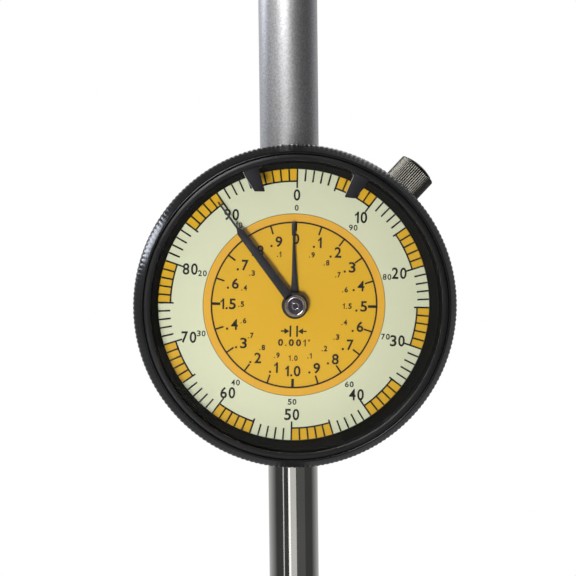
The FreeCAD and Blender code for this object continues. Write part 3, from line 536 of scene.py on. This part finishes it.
# characters listed as outlines, as shares of their height
DOT = 0.19
OWN_WIDTHS = {"1": 0.36, ".": DOT, '"': 0.30}
OWN_LETTERS = {
    "1": [[(0.19, 0), (0.36, 0), (0.36, 1), (0.22, 1), (0.19, 0.93)],
          [(0.19, 0.93), (0.12, 0.83), (0, 0.76), (0, 0.60), (0.11, 0.66), (0.19, 0.73)]],
    ".": [[(0, 0), (DOT, 0), (DOT, DOT), (0, DOT)]],
    '"': [[(0.03, 0.66), (0.09, 0.66), (0.12, 1), (0, 1)],
          [(0.21, 0.66), (0.27, 0.66), (0.30, 1), (0.18, 1)]],
}

dial_span = Span("dial_plate")
dial_turn = Matrix.Rotation(math.radians(DIAL_SET), 4, "Y")


def clockwise(angle):
    """A unit direction on the dial, an angle in degrees clockwise from its zero."""
    turned = math.radians(angle)
    return Vector((math.sin(turned), 0, math.cos(turned)))


class Print:
    """Collects the marks of one ink and lays them on the dial as one thin piece."""

    def __init__(self, layer):
        self.shape = bmesh.new()
        self.depth = dial_span.front - PRINT_STEP * layer

    def face(self, points):
        verts = [self.shape.verts.new((x, self.depth, z)) for x, z in points]
        self.shape.faces.new(verts)

    def bar(self, angle, inner, outer, width):
        """A straight radial mark."""
        ray = clockwise(angle)
        side = Vector((ray.z, 0, -ray.x)) * (width / 2)
        corners = [ray * inner - side, ray * inner + side, ray * outer + side, ray * outer - side]
        self.face([(corner.x, corner.z) for corner in corners])

    def arc(self, inner, outer, start=0.0, end=360.0):
        """A band between two radii."""
        count = max(1, round((end - start) / ARC_STEP))
        rays = [clockwise(start + (end - start) * index / count) for index in range(count + 1)]
        for first, second in zip(rays, rays[1:]):
            ring = [first * inner, second * inner, second * outer, first * outer]
            self.face([(point.x, point.z) for point in ring])

    def text(self, words, height, x, z, digit=0.58, gap=0.14, bold=0.02):
        """Figures set about a point; digit and gap are shares of their height."""
        steps = [OWN_WIDTHS.get(letter, digit) for letter in words]
        gaps = [gap] * (len(words) - 1) + [0]
        pen = -(sum(steps) + sum(gaps)) / 2
        foot = z - height / 2
        for letter, step, after in zip(words, steps, gaps):
            left = x + pen * height
            if letter in OWN_LETTERS:
                for outline in OWN_LETTERS[letter]:
                    self.face([(left + across * height, foot + up * height)
                               for across, up in outline])
            else:
                self.figure(letter, left, foot, step * height, height, bold)
            pen += step + after

    def figure(self, letter, left, foot, width, height, bold):
        """One figure of the plain built-in typeface, fitted to a width and a height."""
        curve = bpy.data.curves.new("figure", "FONT")
        curve.body = letter
        curve.offset = bold
        curve.resolution_u = 4
        holder = bpy.data.objects.new("figure", curve)
        bpy.context.scene.collection.objects.link(holder)
        bpy.context.view_layer.update()
        mesh = bpy.data.meshes.new_from_object(holder)
        across = [vertex.co.x for vertex in mesh.vertices]
        up = [vertex.co.y for vertex in mesh.vertices]
        wide = max(across) - min(across)
        tall = max(up) - min(up)
        mesh.transform(Matrix.Translation((-min(across), -min(up), 0)))
        mesh.transform(Matrix.Diagonal((width / wide, height / tall, 1, 1)))
        mesh.transform(Matrix.Rotation(math.radians(90), 4, "X"))
        mesh.transform(Matrix.Translation((left, self.depth, foot)))
        self.shape.from_mesh(mesh)
        bpy.data.objects.remove(holder)
        bpy.data.curves.remove(curve)
        bpy.data.meshes.remove(mesh)

    def lay(self, name, finish):
        """Makes the marks a piece that faces the reader."""
        bmesh.ops.remove_doubles(self.shape, verts=self.shape.verts, dist=1e-5)
        bmesh.ops.recalc_face_normals(self.shape, faces=self.shape.faces)
        for face in self.shape.faces:
            if face.normal.y > 0:
                face.normal_flip()
        dress(finished(name, self.shape, dial_turn), finish, "dial_plate")


def dial():
    front = dial_span.front
    back = dial_span.back
    hole = Span("counter_tube").radius + 0.3
    disc = turned_piece("dial_face", [
        (hole, front, 0), (dial_span.radius, front, 0.05), (dial_span.radius, back, 0),
        (hole, back, 0)], FACING, 160)
    dress(disc, cream, "dial_plate", replaces=True)

    tint = Print(1)
    tint.arc(YELLOW_HOLE, CIRCLE)
    for start, end in blocks():
        tint.arc(BLOCK, EDGE, start, end)
    tint.lay("dial_yellow", yellow)
    rim = Print(1)
    rim.arc(CIRCLE, YELLOW)
    rim.lay("dial_yellow_rim", orange)
    edge = Print(2)
    edge.arc(YELLOW, YELLOW + THIN_LINE)
    edge.lay("dial_yellow_edge", edge_ink)
    black = Print(3)
    black.arc(CIRCLE - LINE / 2, CIRCLE + LINE / 2)
    outer_scale(black)
    inner_scale(black)
    legend(black)
    black.lay("dial_print", ink)


def blocks():
    """Start and end angles of the yellow blocks, five units in every ten."""
    return [(unit * UNIT_ANGLE, (unit + 5) * UNIT_ANGLE) for unit in range(5, UNITS, 10)]


def outer_scale(black):
    for unit in range(UNITS):
        inner = OUTER_UNIT if unit % 5 else OUTER_FIVE if unit % 10 else OUTER_TEN
        black.bar(unit * UNIT_ANGLE, inner, EDGE, LINE)
    for start, end in blocks():
        black.arc(BLOCK - LINE, BLOCK, start, end)
    for unit in range(0, UNITS, 10):
        ray = clockwise(unit * UNIT_ANGLE)
        height, radius = TENS
        black.text(str(unit), height, ray.x * radius, ray.z * radius)
        height, radius = TENS_BACK
        black.text(str((UNITS - unit) % UNITS), height, ray.x * radius, ray.z * radius, 0.66, 0.16)


def inner_scale(black):
    for tenth in range(20):
        angle = tenth * TENTH_ANGLE
        ray = clockwise(angle)
        bold = tenth in (5, 10, 15)
        black.bar(angle, INNER_MARK, CIRCLE, BOLD_LINE if bold else LINE)
        words = inner_words(tenth)
        pointed = words[0] == "."
        height, radius = TENTHS
        black.text(words, height, ray.x * radius + (0.2 if pointed else 0), ray.z * radius, 0.64,
                   0.27 if pointed else 0.13)
        if tenth:
            height, radius = TENTHS_BACK
            black.text(inner_words(20 - tenth), height, ray.x * radius, ray.z * radius, 0.62, 0.22,
                       0.035)


def inner_words(tenth):
    """0, .1 ... .9, 1.0, .1 ... 1.5 ... .9"""
    if tenth == 0:
        return "0"
    if tenth in (10, 15):
        return f"{tenth / 10:.1f}"
    return f".{tenth % 10}"


def legend(black):
    """Graduation symbol, two bars between two arrows, and the value below the hub."""
    level = -4.9
    half_bar = 1.05
    half_wing = 0.56
    half_tail = 0.13
    for side in (-1, 1):
        inside = side * 0.47
        outside = side * 0.79
        wing = side * 1.75
        tail = side * 2.42
        black.face([(inside, level - half_bar), (outside, level - half_bar),
                    (outside, level + half_bar), (inside, level + half_bar)])
        black.face([(outside, level), (wing, level + half_wing), (wing, level - half_wing)])
        black.face([(wing, level - half_tail), (tail, level - half_tail),
                    (tail, level + half_tail), (wing, level + half_tail)])
    black.text('0.001"', 1.3, 0.1, -7.05, 0.74, 0.31, 0.036)


dial()


# --- hands and hub -------------------------------------------------------------------------------

# half widths and heights of the blades, and the radius of their eyes
MAIN_HAND = [(0.85, 1.5), (0.72, 17.0), (0.22, 18.0), (0.17, 23.8), (0.06, 24.1)]
COUNTER_HAND = [(0.72, 1.8), (0.46, 6.0), (0.24, 11.5), (0.17, 13.0), (0.36, 13.1), (0.36, 15.6)]
EYE = 2.45


def tip_angle(node):
    """Clockwise angle of a hand's tip: its furthest vertex from the dial centre."""
    far = max(places(node), key=dial_reach)
    return math.atan2(far.x, far.z)


def hand(name, node, stations, bevel, bored_by):
    """A flat hand: a tapering blade that points where the CAD hand does, and a round eye."""
    span = Span(node)
    outline = [(-half, height) for half, height in stations]
    outline += [(half, height) for half, height in stations[::-1]]
    turn = Matrix.Rotation(tip_angle(node), 4, "Y")
    blade = plate(name + "_blade", outline, span.front, span.back, bevel, turn)
    dress(blade, hand_finish, node, replaces=True)
    hole = Span(bored_by).radius
    eye = turned_piece(name + "_eye", [
        (hole, span.front, 0), (EYE, span.front, 0.08), (EYE, span.back, 0),
        (hole, span.back, 0)], FACING, 72)
    dress(eye, hand_finish, node)


def hub():
    """The cap over the hands: a darker dished boss with a bright rim and a bright inner ring."""
    cap = Span("pointer_hub")
    top = cap.front
    back = cap.back
    boss = turned_piece("hub_boss", [
        (0, top + 0.3, 0), (0.22, top + 0.3, 0.05), (0.32, top + 0.12, 0.05),
        (0.55, top + 0.12, 0.05), (0.62, top + 0.38, 0.03), (0.80, top + 0.38, 0.06),
        (0.94, top + 0.16, 0.05), (1.14, top + 0.16, 0.06), (1.26, top + 0.5, 0.03),
        (1.5, top + 0.5, 0), (1.5, back, 0), (0, back, 0)], FACING, 96)
    dress(boss, hub_steel, "pointer_hub", replaces=True)
    rim = turned_piece("hub_rim", [
        (1.36, top + 0.55, 0.03), (1.42, top + 0.12, 0.12), (1.66, top, 0.15),
        (2.0, top + 0.4, 0.2), (2.0, back, 0), (1.36, back, 0)], FACING, 96)
    dress(rim, hub_rim_steel, "pointer_hub", replaces=True)
    ring = turned_piece("hub_inner_ring", [
        (0.38, top + 0.30, 0.03), (0.50, top + 0.06, 0.1), (0.66, top + 0.06, 0.1),
        (0.84, top + 0.34, 0.05), (0.84, top + 0.6, 0), (0.38, top + 0.6, 0)], FACING, 96)
    dress(ring, hub_rim_steel, "pointer_hub")


hand("main_hand", "main_pointer", MAIN_HAND, 0.07, "centre_arbor")
hand("counter_hand", "counter_pointer", COUNTER_HAND, 0.05, "counter_tube")
hub()


# --- bezel, crystal and limit markers ------------------------------------------------------------

KNURL_TEETH = 210
KNURL_DEPTH = 0.12
POINTS_PER_TOOTH = 6
# the knurl starts outside this radius and this far behind the front, and deepens over a short run
KNURL_INNER = 29
KNURL_START = 1.6
KNURL_RUN = 0.6
# radii of the ring
LIP = 26.9
MARKER_SLOT = 27.7
CORE = 28.1
SKIRT = 28.2
# lengths along it
SKIRT_LENGTH = 1.6
WELL_END = 4
WIRE_HALF = 0.4


def bezel():
    span = Span("bezel")
    front = span.front
    rear = span.back - SKIRT_LENGTH
    bezel_ring(span, front, rear)
    bezel_knurl(span.radius, front, rear)
    glass = Span("crystal")
    disc = turned_piece("crystal_disc", [
        (0, glass.front, 0), (glass.radius, glass.front, 0.15), (glass.radius, glass.back, 0.1),
        (0, glass.back, 0)], FACING, 128)
    dress(disc, crystal, "crystal", replaces=True)


def bezel_ring(span, front, rear):
    """The ring without its knurl: lip, marker slot, glass seat, matt well and skirt."""
    glass = Span("crystal")
    back = span.back
    bore = Span("dial_retaining_ring").radius
    groove = bore + 0.35
    wire = (rear + back) / 2
    slot = front + 0.5
    dial_front = dial_span.front
    ring = turned_piece("bezel_ring", [
        (LIP, front + 0.02, 0.15), (27.5, front, 0.2), (27.95, front + 0.06, 0.1),
        (CORE, front + 0.42, 0.05), (CORE, rear - 0.2, 0), (SKIRT, rear - 0.2, 0),
        (SKIRT, back, 0.3), (bore, back, 0.1), (bore, wire + WIRE_HALF, 0),
        (groove, wire + WIRE_HALF, 0), (groove, wire - WIRE_HALF, 0), (bore, wire - WIRE_HALF, 0),
        (bore, dial_front, 0), (25.4, dial_front, 0), (25.45, dial_front - 0.3, 0.1),
        (26.55, glass.back - 0.4, 0.3), (26.6, glass.back, 0.05), (glass.radius, glass.back, 0),
        (glass.radius, glass.front, 0), (MARKER_SLOT, glass.front, 0), (MARKER_SLOT, slot, 0),
        (LIP, slot, 0.05)], FACING, 288)
    dress(ring, enamel, "bezel", replaces=True)
    ring.data.materials.append(well_black)
    for face in ring.data.polygons:
        middle = face.center / MM - dial_centre
        if dial_reach(middle) < LIP - 0.02 and middle.y < back - WELL_END:
            face.material_index = 1


def bezel_knurl(outer, front, rear):
    """The steep shoulder and the knurled grip round the ring."""
    neck = front + 0.52
    inside = front + 0.82
    grip = turned_piece("bezel_knurl", [
        (CORE, neck, 0), (CORE + 0.17, front + 0.12, 0.12), (28.55, front + 0.30, 0.7),
        (29.40, front + 1.49, 0), (29.82, front + 2.1, 0.5), (outer, front + 2.75, 0.2),
        (outer, rear - 0.5, 0.1), (outer - 0.5, rear, 0.1), (CORE - 0.3, rear, 0),
        (CORE - 0.3, inside, 0), (CORE, inside, 0)], FACING, KNURL_TEETH * POINTS_PER_TOOTH)

    def cut(radius, along):
        rising = min(max((along - front - KNURL_START) / KNURL_RUN, 0), 1)
        return (radius > KNURL_INNER) * rising * (along < rear - 0.05)

    knurl(grip, KNURL_TEETH, KNURL_DEPTH, FACING, cut)
    dress(grip, knurl_black, "bezel", replaces=True)


# how far out the tab's parts are, and its widths
MARKER_TIP = 22.0
MARKER_SHOULDER = 26.3
MARKER_FOOT = 27.6
MARKER_TIP_WIDTH = 1.9
MARKER_WIDTH = 2.8
MARKER_BEVEL = 0.18
# inside this radius the tab's left-facing sides get the bright bare-steel painted highlight
LIT_EDGE_REACH = 26.4


def limit_marker(name, node, inward):
    """A stamped tab whose inner corner on the zero side is the reading edge."""
    span = Span(node)
    near = min(places(node), key=dial_reach)
    turn = Matrix.Rotation(math.atan2(near.x, near.z), 4, "Y")
    far = -inward * MARKER_TIP_WIDTH
    wide = -inward * MARKER_WIDTH
    ears = MARKER_FOOT - 0.05
    outline = [(0, MARKER_TIP), (0, MARKER_SHOULDER), (inward * 0.5, MARKER_SHOULDER + 0.25),
               (inward * 1.4, ears), (far / 2, MARKER_FOOT), (far - inward * 1.4, ears),
               (wide - inward * 0.15, MARKER_SHOULDER + 0.25), (wide, MARKER_SHOULDER - 0.9),
               (far, MARKER_TIP + 0.55)]
    if inward > 0:
        outline = outline[::-1]
    tab = plate(name, outline, span.front, span.back, MARKER_BEVEL, turn)
    dress(tab, marker_black, node, replaces=True)
    tab.data.materials.append(marker_bare_edge_and_highlight)
    # painted highlight: only the left-facing sides, where the key light falls, get the bright bare-steel finish;
    # the right-facing sides stay black
    for face in tab.data.polygons:
        lit_left_side = abs(face.normal.y) < 0.9 and face.normal.x < -0.4
        if lit_left_side and dial_reach(face.center / MM - dial_centre) < LIT_EDGE_REACH:
            face.material_index = 1


bezel()
limit_marker("low_limit_tab", "limit_marker_left", 1)
limit_marker("high_limit_tab", "limit_marker_right", -1)


# --- stem, sleeve and spindle --------------------------------------------------------------------

# radii of the spigots that go into the case and of the tubes' bores
SPIGOT = 4.4
STEM_BORE = 2.9
SLEEVE_BORE = 4.0
BUSH_BORE = 3.4
TUBE_STEPS = 160


def stem_tube():
    stem = Span("stem")
    boss = Span("case_body").foot
    hole = Span("stem_bush").radius
    seat = stem.foot + 10
    tube = turned_piece("stem_tube", [
        (hole, stem.foot, 0.05), (stem.radius - 0.35, stem.foot, 0.05),
        (stem.radius, stem.foot + 0.4, 0.1), (stem.radius, boss, 0), (SPIGOT, boss, 0),
        (SPIGOT, stem.top, 0), (STEM_BORE, stem.top, 0), (STEM_BORE, seat, 0), (hole, seat, 0)],
        UP, TUBE_STEPS)
    dress(tube, bright_steel, "stem", replaces=True)


def sleeve_tube():
    sleeve = Span("spindle_sleeve")
    case_top = Span("case_body").top
    step = case_top + 0.7
    tube = turned_piece("sleeve_tube", [
        (sleeve.radius, case_top, 0.1), (sleeve.radius, sleeve.top, 0.12),
        (SLEEVE_BORE, sleeve.top, 0.05), (SLEEVE_BORE, step, 0), (BUSH_BORE, step, 0),
        (BUSH_BORE, sleeve.foot, 0), (SPIGOT, sleeve.foot, 0), (SPIGOT, case_top, 0)],
        UP, TUBE_STEPS)
    dress(tube, sleeve_plating, "spindle_sleeve", replaces=True)


def sleeve_cap():
    cap = Span("sleeve_cap")
    seam = Span("spindle_sleeve").top
    dimple = cap.top - 0.15
    plug = turned_piece("sleeve_cap_turned", [
        (0, cap.foot, 0), (SLEEVE_BORE, cap.foot, 0.2), (SLEEVE_BORE, seam, 0), (5.3, seam, 0.05),
        (5.35, seam + 0.25, 0.03), (cap.radius, seam + 0.35, 0.08),
        (cap.radius, cap.top - 0.1, 0.6), (1.2, cap.top, 0.1), (0.9, dimple, 0.05),
        (0, dimple, 0)], UP, TUBE_STEPS)
    dress(plug, sleeve_plating, "sleeve_cap", replaces=True)


stem_tube()
sleeve_tube()
sleeve_cap()


# --- bezel clamp screw ---------------------------------------------------------------------------

KNOB_TEETH = 56
KNOB_DEPTH = 0.2
THREAD = 1.5


def clamp_screw():
    """The knob, turned upright and then stood out from the rim along its joint's axis."""
    low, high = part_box("bezel_clamp_screw")
    joint = next(joint for joint in frame["joints"] if joint["name"] == "clamp_turn")
    outwards = -Vector(joint["axis"]).normalized()
    behind = Vector((0, (low.y + high.y) / 2 / MM, 0))
    radius = (high.y - low.y) / 2 / MM
    source = [place - behind for place in places("bezel_clamp_screw")]
    levels = [place.dot(outwards) for place in source]
    tip = min(levels)
    top = max(levels)
    seat = min(level for place, level in zip(source, levels)
               if (place - outwards * level).length > radius - 0.1)
    rim = top - 0.6
    knob = turned_piece("clamp_knob", [
        (0, tip, 0), (THREAD, tip, 0.2), (THREAD, seat, 0), (radius - 0.5, seat, 0.05),
        (radius, seat + 0.4, 0.1), (radius, rim - 0.22, 0.05), (radius - 0.22, rim, 0.04),
        (radius - 0.75, rim + 0.02, 0.05), (radius - 0.95, rim + 0.3, 0.1), (1.6, top, 0.4),
        (0, top, 0)], UP, KNOB_TEETH * POINTS_PER_TOOTH)

    def cut(across, along):
        return (across > radius - 0.4) * (seat + 0.1 < along < rim - 0.2)

    knurl(knob, KNOB_TEETH, KNOB_DEPTH, UP, cut)
    stand = outwards.to_track_quat("Z", "Y").to_matrix().to_4x4()
    place = Matrix.Translation((dial_centre + behind) * MM) @ stand
    knob.data.transform(place @ Matrix.Translation(-dial_centre * MM))
    dress(knob, knob_nickel, "bezel_clamp_screw", replaces=True)


clamp_screw()


# --- nodes that keep their CAD shape -------------------------------------------------------------

KEPT = {
    "case_body": case_paint,
    "back_cover": case_paint,
    "back_cover_screws": screw_steel,
    "clamp_washer": screw_steel,
    "stem_bush": bush_bronze,
    "upper_bush": bush_bronze,
    "stop_buffer": washer_fibre,
    "front_plate": plate_brass,
    "rear_plate": plate_brass,
    "centre_bridge": plate_brass,
    "plate_pillars": plate_brass,
    "bridge_pillars": plate_brass,
    "plate_screws": screw_steel,
    "rear_plate_screws": screw_steel,
    "bridge_screws": screw_steel,
    "pivot_bushes": bush_bronze,
    "counter_post": bush_bronze,
    "bezel_retaining_wire": spring_steel,
    "dial_retaining_ring": spring_steel,
    "return_spring": spring_steel,
    "hairspring": blued_steel,
    "hairspring_stud": plate_brass,
    "hairspring_collet": plate_brass,
    "spindle": bright_steel,
    "spring_seat": plate_brass,
    "guide_pin": screw_steel,
    "contact_point": bright_steel,
    "contact_ball": bright_steel,
    "rack_arbor": bright_steel,
    "rack_pinion": bright_steel,
    "drive_gear": plate_brass,
    "counter_pinion": bright_steel,
    "centre_arbor": bright_steel,
    "centre_pinion": bright_steel,
    "counter_wheel": plate_brass,
    "counter_tube": plate_brass,
    "takeup_arbor": bright_steel,
    "takeup_wheel": plate_brass,
}

for node, finish in KEPT.items():
    dress(cad_copy(node + "_finished", node), finish, node)
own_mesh(bpy.data.objects["return_spring_finished"])


# --- studio --------------------------------------------------------------------------------------

ROOM_LIGHT = 0.06
SWEEP_LIGHT = 0.62
FLOOR_LEVEL = -0.30
FLOOR_RADIUS = 0.6
aim_point = Vector((0, 0, dial_centre.z * MM))


def direction(side, rise):
    """A direction from the dial: side is degrees to the reader's right of straight ahead."""
    side = math.radians(side)
    rise = math.radians(rise)
    level = math.cos(rise)
    return Vector((math.sin(side) * level, -math.cos(side) * level, math.sin(rise)))


def softbox(name, side, rise, distance, width, height, radiance, tint=(1, 1, 1), glossy=True,
            diffuse=True):
    """A studio light aimed at the dial. It may only be mirrored, or only light matt surfaces."""
    light = bpy.data.lights.new(name, "AREA")
    light.shape = "RECTANGLE"
    light.size = width
    light.size_y = height
    light.energy = radiance * math.pi * width * height
    light.color = tint
    lamp = bpy.data.objects.new(name, light)
    lamp.visible_camera = False
    lamp.visible_glossy = glossy
    lamp.visible_diffuse = diffuse
    bpy.context.scene.collection.objects.link(lamp)
    centre = aim_point + direction(side, rise) * distance
    turn = (aim_point - centre).to_track_quat("-Z", "Y")
    lamp.matrix_world = Matrix.Translation(centre) @ turn.to_matrix().to_4x4()


def floor():
    """A pale round floor that fades into the bright surround and isn't mirrored."""
    finish = Finish("pale floor")
    shade = finish.noise(60.0, 2)
    away = finish.add("ShaderNodeVectorMath", {"operation": "LENGTH"}, {0: finish.place}, "Value")
    near = finish.levels(away, 0.50, 0.20, 0.0, 0.5)
    matt = finish.add("ShaderNodeBsdfDiffuse", {}, {
        "Color": finish.mix(shade, colour(0.80, 0.80, 0.80), colour(0.83, 0.83, 0.83))}, "BSDF")
    bright = finish.add("ShaderNodeEmission", {}, {"Color": colour(1, 1, 1), "Strength": 1.0})
    finish.output(finish.add("ShaderNodeMixShader", {}, {0: near, 1: bright, 2: matt}))
    shape = bmesh.new()
    bmesh.ops.create_circle(shape, cap_ends=True, segments=96, radius=FLOOR_RADIUS)
    mesh = bpy.data.meshes.new("floor")
    shape.to_mesh(mesh)
    shape.free()
    piece = bpy.data.objects.new("floor", mesh)
    piece.visible_glossy = False
    bpy.context.scene.collection.objects.link(piece)
    piece.matrix_world = Matrix.Translation((0, 0, FLOOR_LEVEL))
    mesh.materials.append(finish.material)


def surround():
    """A white sweep behind the object that fades round it into a dim room in front."""
    world = bpy.data.worlds.new("studio")
    world.use_nodes = True
    bpy.context.scene.world = world
    nodes = world.node_tree.nodes
    links = world.node_tree.links
    around = nodes.new("ShaderNodeTexCoord")
    parts = nodes.new("ShaderNodeSeparateXYZ")
    sweep = nodes.new("ShaderNodeMapRange")
    sweep.inputs["From Min"].default_value = 0.0
    sweep.inputs["From Max"].default_value = 1.0
    sweep.inputs["To Min"].default_value = ROOM_LIGHT
    sweep.inputs["To Max"].default_value = SWEEP_LIGHT
    room = nodes["Background"]
    room.inputs["Color"].default_value = (0.97, 0.98, 1.0, 1)
    links.new(around.outputs["Generated"], parts.inputs[0])
    links.new(parts.outputs["Y"], sweep.inputs["Value"])
    links.new(sweep.outputs[0], room.inputs["Strength"])
    bright = nodes.new("ShaderNodeBackground")
    bright.inputs["Color"].default_value = (1, 1, 1, 1)
    bright.inputs["Strength"].default_value = 1.0
    seen = nodes.new("ShaderNodeLightPath")
    choice = nodes.new("ShaderNodeMixShader")
    links.new(seen.outputs["Is Camera Ray"], choice.inputs[0])
    links.new(room.outputs[0], choice.inputs[1])
    links.new(bright.outputs[0], choice.inputs[2])
    links.new(choice.outputs[0], nodes["World Output"].inputs["Surface"])


def studio():
    bpy.context.scene.view_settings.view_transform = "Standard"
    surround()
    floor()
    softbox("key", -15, -10, 0.26, 0.06, 0.06, 48.0, glossy=False)
    softbox("upper_box", -22, 32, 0.7, 0.30, 0.32, 13.0, diffuse=False)
    softbox("left_panel", -68, 14, 0.8, 0.45, 0.5, 0.45)
    softbox("low_key", -22, -19, 0.8, 0.13, 0.30, 1.5)
    softbox("low_panel", -3.5, -19, 0.8, 0.355, 0.30, 0.66)
    softbox("low_strip", -51, -19, 0.8, 0.06, 0.30, 0.85)
    softbox("low_fill", 32, -19, 0.8, 0.55, 0.30, 0.05)
    softbox("rim", -112, 22, 0.6, 0.06, 0.15, 24.0, (0.84, 0.88, 1.0), diffuse=False)
    softbox("back_box", 160, 40, 0.8, 0.6, 0.35, 2.5)


CAMERA_DISTANCE = 0.330
CAMERA_SIDE = -3.9
CAMERA_RISE = 3.3
CAMERA_LEAN = 0.655
CAMERA_LENS = 107.4
CAMERA_SHIFT = -0.00057
CAMERA_LIFT = 0.00273


def camera():
    aim = Vector((CAMERA_SHIFT, 0, dial_centre.z * MM + CAMERA_LIFT))
    away = direction(CAMERA_SIDE, CAMERA_RISE)
    lens = bpy.data.cameras.new("camera")
    lens.lens = CAMERA_LENS
    lens.sensor_width = 36
    lens.clip_start = 0.01
    view = bpy.data.objects.new("camera", lens)
    bpy.context.scene.collection.objects.link(view)
    look = (-away).to_track_quat("-Z", "Y").to_matrix().to_4x4()
    lean = Matrix.Rotation(math.radians(-CAMERA_LEAN), 4, "Z")
    view.matrix_world = Matrix.Translation(aim + away * CAMERA_DISTANCE) @ look @ lean
    bpy.context.scene.camera = view


studio()
camera()
